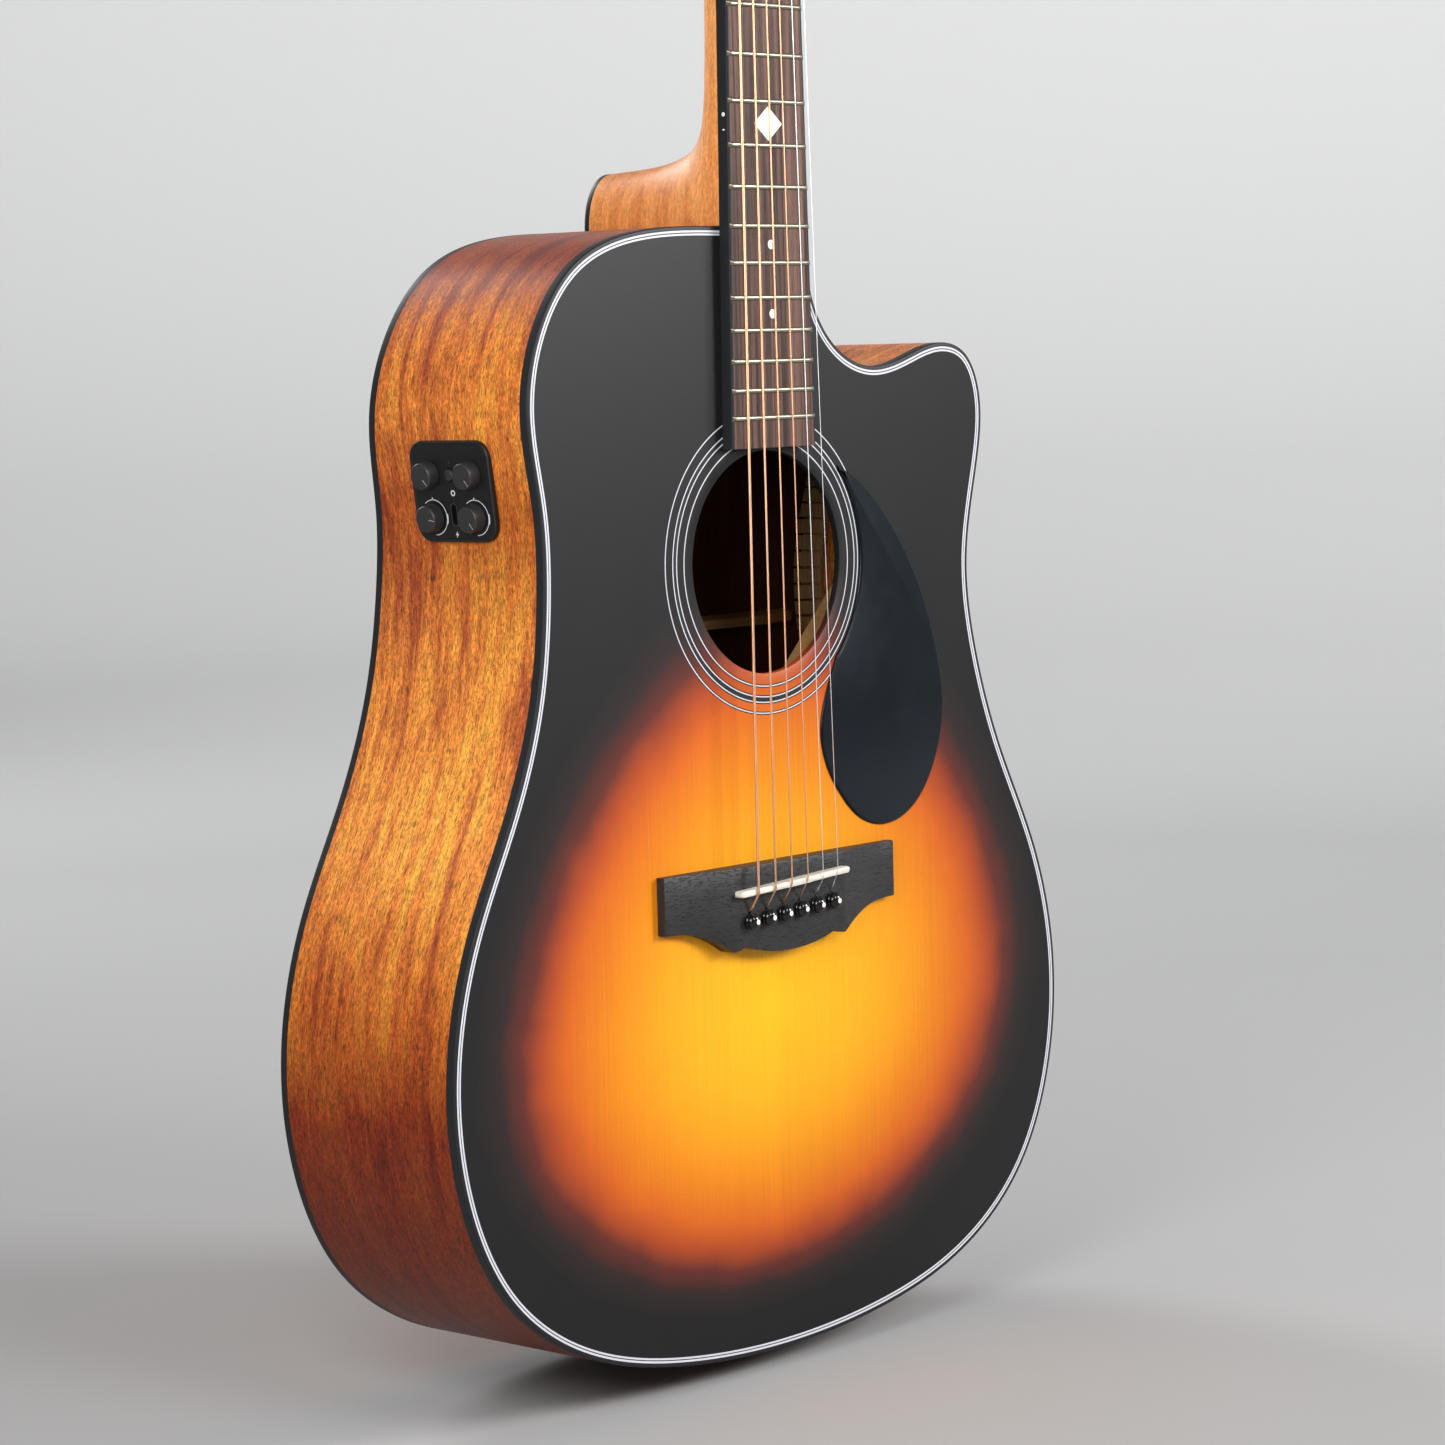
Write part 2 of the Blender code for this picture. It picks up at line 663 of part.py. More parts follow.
def truss_rod(finish):
    top = TOP_Y + GAP
    block("truss_rod", (-ROD_HALF, top, ROD_Z[0]), (ROD_HALF, top + ROD_DEPTH, ROD_Z[1]), finish)


def heel_cap(finish):
    flat, deep, half, square = HEEL_STATIONS[0]
    rings = []
    for y in (HEEL_FLOOR + GAP, HEEL_FLOOR + GAP + HEEL_CAP_THICK):
        rings.append(neck_section((y, flat[1]), (y, deep[1]), half, square))
    loft("heel_cap", rings, finish)


def crown(x, half):
    return BOARD_CROWN * (1 - (x / half) ** 2)


def fretboard(finish):
    """The board with its wire frets standing on its crowned face."""
    profile = [(-GAP / 2, 0.0)]
    for number in range(1, FRETS + 1):
        z = fret_z(number)
        for step, rise in ((FRET_HALF, 0), (FRET_HALF / 2, 1), (-FRET_HALF / 2, 1), (-FRET_HALF, 0)):
            profile.append((z + step, rise * FRET_HEIGHT))
    profile.append((BOARD_END, 0.0))
    rings = []
    for z, rise in profile:
        half = board_half(z)
        across = (-half, 0.0, half)
        face = [(x, -crown(x, half) - rise, z) for x in across]
        rings.append(face + [(half, BOARD_THICK - GAP, z), (-half, BOARD_THICK - GAP, z)])
    loft("fretboard", rings, finish)


def nut(finish):
    rings = []
    for z, y in ((GAP / 2, -0.85), (4.6, -0.2), (5.9, 1.0)):
        rings.append([(-NUT_HALF, TOP_Y - GAP, z), (NUT_HALF, TOP_Y - GAP, z), (NUT_HALF, y, z),
                      (-NUT_HALF, y, z)])
    loft("nut", rings, finish)


def headstock_veneer(finish):
    low, high = [], []
    for distance, half, _ in HEAD_STATIONS:
        if 8 <= distance <= 169.5:
            low.append((half - 0.6, distance))
    outline = low + [(-x, distance) for x, distance in reversed(low)]
    rings = []
    for out in (GAP, GAP + VENEER_THICK):
        rings.append([head_point(distance, x, out) for x, distance in outline])
    drill_tuner_holes(loft("headstock_veneer", rings, finish), finish)


def strings(wound, plain):
    """Six tubes from the pins over the saddle and the nut to the posts."""
    for index, radius in enumerate(STRING_RADII):
        share = string_share(index)
        side, distance = post_place(index)
        saddle_x, nut_x = share * SADDLE_SPREAD / 2, share * NUT_SPREAD / 2
        saddle_y = STRING_Y_SADDLE - SADDLE_CROWN * (1 - share * share)
        nut_y = STRING_Y_NUT - crown(nut_x, NUT_HALF)
        post_x = side * (POST_X - POST_RADIUS - GAP - radius)
        route = [(pin_x(index), bridge_face() - GAP - radius, pin_z(index) + 4.6 + radius),
                 (saddle_x, saddle_y, saddle_z(saddle_x)), (nut_x, nut_y, 1.0),
                 head_point(distance, post_x, 7.0)]
        rings = []
        for number, here in enumerate(route):
            before = Vector(route[max(number - 1, 0)])
            after = Vector(route[min(number + 1, len(route) - 1)])
            along = (after - before).normalized()
            across = Vector((1, 0, 0))
            lift = along.cross(across).normalized()
            turns = [2 * math.pi * k / 6 for k in range(6)]
            rings.append([Vector(here) + radius * (math.cos(t) * across + math.sin(t) * lift)
                          for t in turns])
        loft(f"string_{index + 1}", rings, wound if index < 4 else plain)


# --- tuners --------------------------------------------------------------------------------

def worm_place(index):
    """Height of the worm's axis in the tuner's frame, and which way it lies from the post."""
    side = post_place(index)[0]
    height = -HEAD_THICK - GAP - CASE_SIZE[2] / 2
    return side * WORM_OFFSET, height


def tuner_housing(index, finish):
    """A closed gear case behind the headstock with a bushing and its nut through to the front."""
    frame = tuner_frame(index)
    offset, height = worm_place(index)
    half_x, half_y, half_z = (side / 2 for side in CASE_SIZE)
    middle_y = offset / 2
    name = f"tuner_housing_{index + 1}"
    rings = []
    for share, shrink in ((-1, 1.6), (-0.7, 0.0), (1, 0.0)):
        ring = rounded(half_x - shrink, half_y - shrink, 3.5, 2)
        rings.append([(x, y + middle_y, height + share * half_z) for x, y in ring])
    made = loft(name, rings, finish, frame)
    face = VENEER_THICK + 2 * GAP
    bushing = [(BUSHING_RADIUS, height), (BUSHING_RADIUS, face), (6.4, face), (6.4, face + 0.8),
               (5.4, face + 2.4), (5.4, face + 3.0)]
    join(made, turned("bushing", bushing, 12, finish, frame))
    inner = [half_x - CASE_WALL, half_y - CASE_WALL, half_z - CASE_WALL]
    low = (-inner[0], middle_y - inner[1], height - inner[2])
    high = (inner[0], middle_y + inner[1], height + inner[2])
    cut(made, block("cavity", low, high, finish, frame))
    bore = [(POST_RADIUS + GAP, height), (POST_RADIUS + GAP, 30.0)]
    cut(made, turned("bore", bore, 12, finish, frame))
    shaft = [(SHAFT_RADIUS + GAP, 4.0), (SHAFT_RADIUS + GAP, 20.0)]
    cut(made, turned("shaft", shaft, 10, finish, worm_frame(index)))


def worm_frame(index):
    """Local Z runs outboard along the worm's axis; the origin is level with the post."""
    offset, height = worm_place(index)
    return tuner_frame(index) @ Matrix.Translation((0, offset, height)) @ Matrix.Rotation(
        math.pi / 2, 4, "Y")


def tuner_post(index, finish):
    """The string post, waisted where the string winds, with its gear wheel at the lower end."""
    height = worm_place(index)[1]
    profile = [(WHEEL_RADIUS, height - 2.0), (WHEEL_RADIUS, height + 2.0),
               (POST_RADIUS, height + 2.0), (POST_RADIUS, 5.2), (2.5, 6.4), (2.5, 8.2),
               (POST_RADIUS, 9.6), (2.6, POST_HEIGHT)]
    turned(f"tuner_post_{index + 1}", profile, 12, finish, tuner_frame(index))


def tuner_button(index, finish):
    """The worm and its shaft, ending in a grip that turns outside the headstock's edge."""
    reach = BUTTON_X - BUTTON_SIZE[0] / 2
    profile = [(WORM_RADIUS, -7.0), (WORM_RADIUS, 6.6), (SHAFT_RADIUS, 6.6), (SHAFT_RADIUS, reach + 1.0)]
    frame = worm_frame(index)
    made = turned(f"tuner_button_{index + 1}", profile, 10, finish, frame)
    rings = []
    depth, wide, tall = BUTTON_SIZE
    for share, scale in ((-0.5, 0.6), (-0.2, 0.95), (0.3, 0.98), (0.5, 0.7)):
        ring = rounded(tall / 2 * scale, wide / 2 * scale, 4.4 * scale, 2)
        rings.append([(x, y, BUTTON_X + share * depth) for x, y in ring])
    join(made, loft("grip", rings, finish, frame))


# --- electrics -----------------------------------------------------------------------------

def preamp_panel(frame, finish):
    """A face plate with a box behind it, bored for its shafts, its button and its port."""
    half_x, half_y = PANEL_SIZE[0] / 2, PANEL_SIZE[1] / 2
    rings = []
    for shrink, height in ((0.0, GAP), (0.0, GAP + PANEL_THICK - 0.6), (0.6, GAP + PANEL_THICK)):
        ring = rounded(half_x - shrink, half_y - shrink, PANEL_CORNER - shrink)
        rings.append([(x, y, height) for x, y in ring])
    made = loft("preamp_panel", rings, finish, frame)
    x, y, depth = PREAMP_BOX
    join(made, block("box", (-x / 2, -y / 2, -depth), (x / 2, y / 2, 1.0), finish, frame))
    for knob_x, knob_y in knob_places():
        place = frame @ Matrix.Translation((knob_x, knob_y, 0))
        cut(made, turned("hole", [(KNOB_SHAFT + GAP, -6.0), (KNOB_SHAFT + GAP, 9.0)], 12, finish, place))
    place = frame @ Matrix.Translation((0, POWER_Y, 0))
    cut(made, turned("hole", [(POWER_RADIUS + GAP, -5.0), (POWER_RADIUS + GAP, 9.0)], 16, finish, place))
    port = rounded(1.6, 4.4, 1.5, 3)
    rings = [[(px, py + PORT_Y, height) for px, py in port] for height in (-6.0, 9.0)]
    cut(made, loft("port", rings, finish, frame))


def knob_places():
    return [(x, y) for y in KNOB_YS for x in (-KNOB_X, KNOB_X)]


def preamp_knobs(frame, finish):
    base = GAP + PANEL_THICK + GAP
    profile = [(KNOB_SHAFT, -5.0), (KNOB_SHAFT, base), (KNOB_RADIUS + 0.3, base),
               (KNOB_RADIUS, base + KNOB_HEIGHT - 0.5), (KNOB_RADIUS - 0.5, base + KNOB_HEIGHT),
               (0.8, base + KNOB_HEIGHT - 0.2)]
    for number, (x, y) in enumerate(knob_places()):
        place = frame @ Matrix.Translation((x, y, 0))
        turned(f"preamp_knob_{number + 1}", profile, 16, finish, place)


def power_button(frame, finish):
    high = GAP + PANEL_THICK + 1.4
    profile = [(POWER_RADIUS, -3.4), (POWER_RADIUS, high - 0.4), (POWER_RADIUS - 0.5, high)]
    place = frame @ Matrix.Translation((0, POWER_Y, 0))
    turned("preamp_power_button", profile, 16, finish, place)


def endpin_jack(finish):
    """Strap button, threaded barrel and inner nut in one turned piece with a socket through it."""
    profile = [(SOCKET_RADIUS, JACK_OUT), (8.0, JACK_OUT), (9.5, JACK_OUT - 1), (9.5, JACK_OUT - 3),
               (6.6, JACK_OUT - 5), (6.6, 3.0), (9.0, 1.4), (9.0, GAP), (JACK_RADIUS, GAP),
               (JACK_RADIUS, -JACK_IN), (SOCKET_RADIUS, -JACK_IN)]
    turned("endpin_jack", profile, 16, finish, jack_frame(), closed=True)


def jack_frame():
    """Local Z points down out of the tail."""
    return Matrix.Translation((0, JACK_Y, TAIL[1])) @ Matrix.Rotation(math.pi, 4, "X")


def drill_jack_hole(targets, finish):
    hole = [(JACK_RADIUS + GAP, 20.0), (JACK_RADIUS + GAP, -60.0)]
    for target in targets:
        cut(target, turned("drill", hole, 16, finish, jack_frame()))


def cut_preamp_hole(target, frame, finish):
    x, y = PREAMP_BOX[0] / 2 + GAP, PREAMP_BOX[1] / 2 + GAP
    cut(target, block("hole", (-x, -y, -30), (x, y, 30), finish, frame))


# --- assembly ------------------------------------------------------------------------------

def build():
    clear_scene()
    spruce = material("spruce", (0.60, 0.24, 0.06), 0.42)
    mahogany = material("mahogany", (0.46, 0.20, 0.07), 0.45)
    neck_wood = material("neck_wood", (0.52, 0.25, 0.10), 0.5)
    rosewood = material("rosewood", (0.13, 0.07, 0.05), 0.55)
    ebony = material("ebony", (0.02, 0.018, 0.017), 0.5)
    inner_wood = material("inner_wood", (0.55, 0.38, 0.22), 0.7)
    black_plastic = material("black_plastic", (0.02, 0.02, 0.022), 0.4)
    bone = material("bone", (0.86, 0.82, 0.72), 0.35)
    bronze = material("bronze", (0.72, 0.42, 0.22), 0.3, 1.0)
    steel = material("steel", (0.7, 0.7, 0.7), 0.25, 1.0)
    chrome = material("chrome", (0.62, 0.62, 0.64), 0.15, 1.0)

    outline = body_outline()
    top = soundboard(outline, spruce)
    back_plate(outline, mahogany)
    treble_rib, bass_rib = sides(outline, mahogany)
    bindings(outline, black_plastic)
    linings(outline, inner_wood)
    neck_block(inner_wood)
    tail = tail_block(inner_wood)
    top_bracing(inner_wood)
    back_bracing(inner_wood)
    rosette(black_plastic)
    pickguard(black_plastic)

    saddle_bed = bridge(ebony)
    saddle(bone)
    plate = bridge_plate(inner_wood)
    bridge_pins(black_plastic)
    drill_pin_holes([saddle_bed, top, plate], ebony)

    neck(neck_wood)
    truss_rod(steel)
    heel_cap(black_plastic)
    fretboard(rosewood)
    nut(bone)
    headstock_veneer(ebony)
    strings(bronze, steel)
    for index in range(6):
        tuner_housing(index, chrome)
        tuner_post(index, chrome)
        tuner_button(index, chrome)

    side_frame = preamp_frame(outline)
    cut_preamp_hole(bass_rib, side_frame, mahogany)
    preamp_panel(side_frame, black_plastic)
    preamp_knobs(side_frame, black_plastic)
    power_button(side_frame, black_plastic)
    endpin_jack(steel)
    drill_jack_hole([treble_rib, bass_rib, tail], steel)
    to_metres()


build()
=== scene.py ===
"""Looks of the acoustic guitar: fine meshes, materials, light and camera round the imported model.

Lengths are in millimetres until settle() brings a piece to metres; the studio, the lights and the
camera are in metres from the start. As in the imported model, +Z runs from the tail to the headstock,
+Y from the soundboard to the back, and +X to the treble side.
"""
import json
import math

import bmesh
import bpy
import numpy as np
from mathutils import Matrix, Vector


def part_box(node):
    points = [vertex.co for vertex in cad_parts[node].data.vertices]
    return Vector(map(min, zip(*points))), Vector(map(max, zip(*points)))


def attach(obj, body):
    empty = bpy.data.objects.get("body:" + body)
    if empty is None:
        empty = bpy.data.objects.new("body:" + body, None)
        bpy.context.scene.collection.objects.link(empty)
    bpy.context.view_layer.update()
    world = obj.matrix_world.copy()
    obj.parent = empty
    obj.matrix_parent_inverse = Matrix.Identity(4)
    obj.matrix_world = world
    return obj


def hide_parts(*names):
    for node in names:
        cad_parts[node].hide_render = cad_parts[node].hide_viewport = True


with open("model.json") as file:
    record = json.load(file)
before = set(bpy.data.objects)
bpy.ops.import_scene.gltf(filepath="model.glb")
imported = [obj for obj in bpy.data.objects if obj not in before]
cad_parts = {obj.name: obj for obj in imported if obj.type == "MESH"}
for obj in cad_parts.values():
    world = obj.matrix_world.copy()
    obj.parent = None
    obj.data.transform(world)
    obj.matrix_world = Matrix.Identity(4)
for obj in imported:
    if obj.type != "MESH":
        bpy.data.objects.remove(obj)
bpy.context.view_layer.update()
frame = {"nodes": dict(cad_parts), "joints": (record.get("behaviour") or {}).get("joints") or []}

MM = 0.001
GRAIN = "grain"              # UV map of a bent rib: length along it and depth, in millimetres
FINE = 12                    # samples between two outline points
HAIR = 0.02                  # air round an inlaid piece

# Body outline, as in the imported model
TREBLE_SHOULDER = [(30, -360.4), (32, -378), (38, -398.5), (52.6, -415.4), (76, -423.8),
                   (103, -419.2), (128, -413.8), (145.5, -418.7), (156, -437), (153.5, -471)]
LOWER_HALF = [(144.2, -516), (150, -560), (167.5, -608), (192, -656.8), (206.2, -712),
              (202, -764.5), (177.5, -814), (129.6, -848), (72, -863.4)]
TAIL = (0, -868.8)
BASS_SHOULDER = [(-145.1, -481.5), (-151.1, -440), (-145.2, -410), (-122.1, -378.4),
                 (-70, -361.6), (-20, -360.4), (26, -360.4)]
TOP_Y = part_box("soundboard")[0].y / MM
TOP_THICK = 3.0
BACK_THICK = 2.5
BACK_RADIUS = 3000.0
BACK_PEAK = (120.0, -724.0)  # y and z of the dome's top
SIDE_THICK = 2.3
SIDE_SET = 0.05              # how far the ribs lie inside the outline
BINDING_WIDTH = 1.9
BINDING_FRONT_DEPTH = 4.5
BINDING_BACK_DEPTH = 4.0
PURFLING = [("white", 1.92, 2.84), ("black", 2.86, 3.28), ("white", 3.30, 4.14), ("black", 4.16, 4.56)]
PURFLING_DEPTH = 1.5
RIM = 4.6                    # how far the spruce starts inside the outline
LINING_THICK = 6.0
LINING_DEPTH = 14.0
KERF_PITCH = 7.5
KERF_TOOTH = 6.3
CLOSING_GAP = 4.0            # from the outline's last point round to its first

# Soundhole, rosette and pickguard
HOLE_Z = -510.0
HOLE_RADIUS = 50.0
GROOVE_DEPTH = 1.2
GROOVES = [(68.75, 67.25), (63.9, 59.8), (56.55, 55.05)]
WHITE_LINES = [68.0, 63.1, 60.6, 55.8]
WHITE_HALF = 0.27
DARK_LINES = [(67.3, 67.7), (68.3, 68.7), (63.4, 63.8), (60.9, 62.8), (59.9, 60.3), (56.1, 56.5),
              (55.1, 55.5)]
GUARD_THICK = 1.2
GUARD_INNER_RADIUS = 64.5
GUARD_EDGE = [(38, -572), (33.6, -588), (38, -607), (47, -620), (59, -631), (79, -636.5),
              (99, -630), (117, -607), (122.5, -583), (119, -559), (107, -527), (87, -497),
              (59, -473)]

# Sunburst: an egg shape, wider above its middle line than below it
BURST_Z = -712.0
BURST_LEAN = 0.04            # how much its middle line falls for each millimetre across
BURST_HALF_WIDTH = 159.0
BURST_ABOVE = 166.0
BURST_BELOW = 111.0

# Strings, fretboard and nut
SCALE = 650.0
FRETS = 20
NUT_HALF = 21.5
FRET20_HALF = 28.1
BOARD_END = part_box("fretboard")[0].z / MM
BOARD_THICK = 6.0
BOARD_CROWN = 0.6
EDGE_BAND = 1.5              # width of the black strips along the board
FRET_HEIGHT = 1.05
FRET_HALF = 1.15
STRING_RADII = [0.67, 0.53, 0.41, 0.31, 0.21, 0.16]
NUT_SPREAD = 36.0
SADDLE_SPREAD = 55.0
STRING_Y_NUT = -1.9
STRING_Y_SADDLE = -8.0
SADDLE_CROWN = 0.9

# Bridge: x, z of its lower edge and thickness, from the middle outwards
BRIDGE_BELLY = [(0, -684.9, 8.6), (12, -684.2, 8.6), (24, -681.9, 8.6), (31.5, -679.8, 8.6)]
BRIDGE_TIP = [(34.0, -681.2, 8.6), (38.0, -681.7, 8.5)]
BRIDGE_END = [(78.8, -669.8, 4.1), (79.0, -669.6, 3.9)]
BRIDGE_WING = [(39.5, -681.0, 8.3), (44, -678.2, 7.6), (50, -675.2, 6.6), (57, -672.6, 5.5),
               (65, -670.7, 4.7), (78, -669.9, 4.2)]
BRIDGE_TOP_Z = -644.0
SADDLE_LENGTH = 75.0
SADDLE_THICK = 3.0
SADDLE_Z = -654.0
SADDLE_SLANT = 3.6
COMPENSATION = [-0.5, -0.1, 0.4, 0.9, -0.6, 0.5]   # each string's crest off the saddle's middle
PIN_SPREAD = 56.4
PIN_Z = -667.2
PIN_SLANT = 3.0
PIN_RADIUS = 2.6
PIN_RISE = 0.8               # how far the pin's collar stands off the bridge

# Neck stations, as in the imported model: flat side (y, z), rounded side (y, z), half width and
# squareness; on the headstock, distance up its face, half width and squareness
HEEL_Z = -360.1
HEEL_FLOOR = 93.5
HEEL_STATIONS = [((HEEL_FLOOR, HEEL_Z), (HEEL_FLOOR, -333.0), 18.0, 2.2),
                 ((68, HEEL_Z), (77, -332.2), 18.6, 2.2),
                 ((42, HEEL_Z), (60, -330.6), 20.4, 2.2),
                 ((22, HEEL_Z), (48, -328.0), 23.6, 2.2),
                 ((TOP_Y, HEEL_Z), (38, -323.6), 26.8, 2.2),
                 ((TOP_Y, -345), (31, -316.5), 26.6, 2.2),
                 ((TOP_Y, -325), (26.6, -306), 26.3, 2.2),
                 ((TOP_Y, -295), (24.4, -288), 25.8, 2.2),
                 ((TOP_Y, -250), (23.4, -249), 25.2, 2.2),
                 ((TOP_Y, -120), (22.0, -120), 23.3, 2.2),
                 ((TOP_Y, -10), (20.8, -10), 21.6, 2.2),
                 ((TOP_Y, 0.5), (20.4, -1.5), 21.5, 2.3)]
HEAD_ANGLE = math.radians(14.0)
HEAD_THICK = 14.0
HEAD_START = (TOP_Y, 6.3)
HEAD_STATIONS = [(0, 21.8, 2.8), (8, 23.4, 4.5), (18, 28.0, 7.0), (28, 31.6, 9.0), (44, 32.8, 10.0),
                 (80, 34.2, 10.0), (120, 35.8, 10.0), (150, 37.0, 10.0), (160, 36.4, 10.0),
                 (166, 32.0, 10.0), (169.5, 20.0, 10.0), (170.5, 6.0, 10.0)]
VENEER_THICK = 1.2

# Tuners and preamp, in their own frames
POST_RADIUS = 3.0
WORM_RADIUS = 2.4
BUSHING_HOLE = 5.1           # radius of the headstock's holes, a hair over the tuners' bushings
CASE_SIZE = (19.0, 24.0, 11.0)
CASE_DROP = -HEAD_THICK - 0.3 - CASE_SIZE[2] / 2
BUTTON_X = 25.0
PANEL_SIZE = (48.0, 44.0)
PANEL_CORNER = 8.0
PANEL_FACE = 2.3
PREAMP_BOX = (40.0, 36.0, 18.0)
KNOB_X = 12.6
KNOB_YS = (7.4, -11.2)
KNOB_RADIUS = 5.85
KNOB_HEIGHT = 5.6
POWER_Y = 7.4
PORT_Y = -10.0

# Camera and studio, in metres and degrees
CAMERA_PLACE = (-1.3739, -1.1937, -0.4141)
CAMERA_YAW = 48.179          # from +Y towards +X
CAMERA_PITCH = 5.254
CAMERA_ROLL = -1.471
CAMERA_LENS = 101.28
FLOOR_Z = -0.878
FLOOR_RADIUS = 4.8           # of the flat part of the floor
WALL_CURVE = 1.6             # radius of the curve from the floor to the wall
WALL_TOP = 3.4
STUDIO_REACH = 8.0           # metres from the middle at which the backdrop's ramp ends


# --- materials -----------------------------------------------------------------------------

def shade(red, green, blue):
    """A colour given on the usual 0 to 255 display scale, as the shader wants it."""
    values = []
    for part in (red, green, blue):
        part /= 255
        values.append(part / 12.92 if part <= 0.04045 else ((part + 0.055) / 1.055) ** 2.4)
    return (*values, 1.0)


class Finish:
    """A material being made: its shader, and short ways to add the nodes that feed it."""

    def __init__(self, name, roughness=0.4, metallic=0.0, coat=0.0, specular=0.5):
        self.material = bpy.data.materials.new(name)
        self.material.use_nodes = True
        self.tree = self.material.node_tree
        self.shader = self.tree.nodes["Principled BSDF"]
        self.put("Roughness", roughness)
        self.put("Metallic", metallic)
        self.put("Coat Weight", coat)
        self.put("Coat Roughness", 0.12)
        self.put("Specular IOR Level", specular)

    def put(self, socket, value):
        self.feed(value, self.shader.inputs[socket])

    def feed(self, value, socket):
        if isinstance(value, bpy.types.NodeSocket):
            self.tree.links.new(value, socket)
        else:
            socket.default_value = value

    def node(self, kind, *values, **settings):
        made = self.tree.nodes.new("ShaderNode" + kind)
        for key, value in settings.items():
            setattr(made, key, value)
        for socket, value in zip(made.inputs, values):
            self.feed(value, socket)
        return made

    def math(self, operation, *values):
        return self.node("Math", *values, operation=operation).outputs[0]

    def place(self, stretch=(1, 1, 1), along_rib=False):
        """Position in millimetres times stretch, in the piece's frame or along a bent rib."""
        if along_rib:
            start, scale = self.node("UVMap", uv_map=GRAIN).outputs[0], 1.0
        else:
            start, scale = self.node("TexCoord").outputs["Object"], 1 / MM
        factors = tuple(scale * share for share in stretch)
        return self.node("VectorMath", start, factors, operation="MULTIPLY").outputs[0]

    def split(self, vector):
        return self.node("SeparateXYZ", vector).outputs

    def noise(self, where, size, detail=3.0, warp=0.0):
        made = self.node("TexNoise")
        for socket, value in (("Vector", where), ("Scale", 1 / size), ("Detail", detail),
                              ("Roughness", 0.6), ("Distortion", warp)):
            self.feed(value, made.inputs[socket])
        return made.outputs["Fac"]

    def ramp(self, value, stops):
        """Colours over the value 0 to 1; a stop is a position and a colour or a grey."""
        made = self.node("ValToRGB", value)
        track = made.color_ramp
        while len(track.elements) < len(stops):
            track.elements.new(1.0)
        for element, (position, colour) in zip(track.elements, stops):
            element.position = position
            element.color = colour if isinstance(colour, tuple) else (colour, colour, colour, 1.0)
        return made.outputs["Color"]

    def mix(self, share, first, second, mode="MIX"):
        made = self.node("Mix", data_type="RGBA", blend_type=mode)
        for index, value in ((0, share), (6, first), (7, second)):
            self.feed(value, made.inputs[index])
        return made.outputs[2]

    def tint(self, share, tone, factor):
        """The tone with that share of it multiplied by the factor."""
        return self.mix(share, tone, self.mix(1.0, tone, factor, "MULTIPLY"))

    def span(self, value, low, high):
        """The value 0 to 1 spread from low to high."""
        return self.node("MapRange", value, 0.0, 1.0, low, high).outputs[0]

    def bump(self, height, depth):
        """Relief of that depth in millimetres on top of any relief there is."""
        made = self.node("Bump")
        self.feed(height, made.inputs["Height"])
        made.inputs["Distance"].default_value = depth * MM
        made.inputs["Strength"].default_value = 1.0
        normal = self.shader.inputs["Normal"]
        if normal.links:
            self.feed(normal.links[0].from_socket, made.inputs["Normal"])
        self.feed(made.outputs[0], normal)


def sunburst():
    """Clear-to-charcoal burst over straight-grained spruce, darkest outside an egg shape."""
    look = Finish("sunburst_spruce", specular=0.18)
    place = look.place()
    x, _, z = look.split(place)
    lean = look.math("MULTIPLY", x, BURST_LEAN)
    rise = look.math("ADD", z, look.math("SUBTRACT", -BURST_Z, lean))
    below = look.math("LESS_THAN", rise, 0.0)
    shorter = look.math("MULTIPLY", below, BURST_ABOVE - BURST_BELOW)
    reach = look.math("SUBTRACT", BURST_ABOVE, shorter)
    power = look.math("ADD", 1.7, look.math("MULTIPLY", below, 0.3))
    aside = look.math("ABSOLUTE", x)
    across = look.math("POWER", look.math("DIVIDE", aside, BURST_HALF_WIDTH), power)
    up = look.math("POWER", look.math("DIVIDE", look.math("ABSOLUTE", rise), reach), power)
    field = look.math("POWER", look.math("ADD", across, up), look.math("DIVIDE", 1.0, power))
    spray = look.noise(place, 28.0, 2.0)
    field = look.math("ADD", field, look.span(spray, -0.03, 0.03))
    field = look.math("MULTIPLY", field, 0.7)
    toned = look.ramp(field,
                      [(0.0, shade(250, 183, 22)), (0.25, shade(246, 170, 21)),
                       (0.37, shade(238, 154, 19)), (0.49, shade(224, 129, 17)),
                       (0.60, shade(208, 98, 24)), (0.67, shade(170, 70, 30)),
                       (0.73, shade(96, 42, 34)), (0.79, shade(46, 34, 33)),
                       (0.86, shade(28, 28, 29))])
    grain = look.noise(look.place((1, 1, 0.006)), 0.7, 3.0)
    waver = look.span(look.noise(look.place((1, 1, 0.01)), 14.0, 3.0), 0.0, 26.0)
    rings = look.math("SINE", look.math("ADD", look.math("MULTIPLY", aside, 5.2), waver))
    speck = look.noise(look.place((1, 1, 0.4)), 0.5, 2.0)
    clear = look.ramp(field, [(0.55, 1.0), (0.72, 0.1)])
    for share, figure in ((0.16, grain), (0.05, look.span(rings, 0.5, 1.0)), (0.14, speck)):
        marked = look.tint(share, toned, look.span(figure, 0.0, 2.0))
        toned = look.mix(clear, toned, marked)
    seam = look.ramp(aside, [(0.0, 0.86), (0.2, 1.0)])
    half = look.ramp(look.math("GREATER_THAN", x, 0.0), [(0.0, 0.92), (1.0, 0.88)])
    toned = look.mix(1.0, look.tint(clear, toned, seam), half, "MULTIPLY")
    look.put("Base Color", toned)
    look.put("Roughness", look.span(look.noise(place, 14.0), 0.36, 0.42))
    look.bump(grain, 0.008)
    look.bump(speck, 0.006)
    return look.material


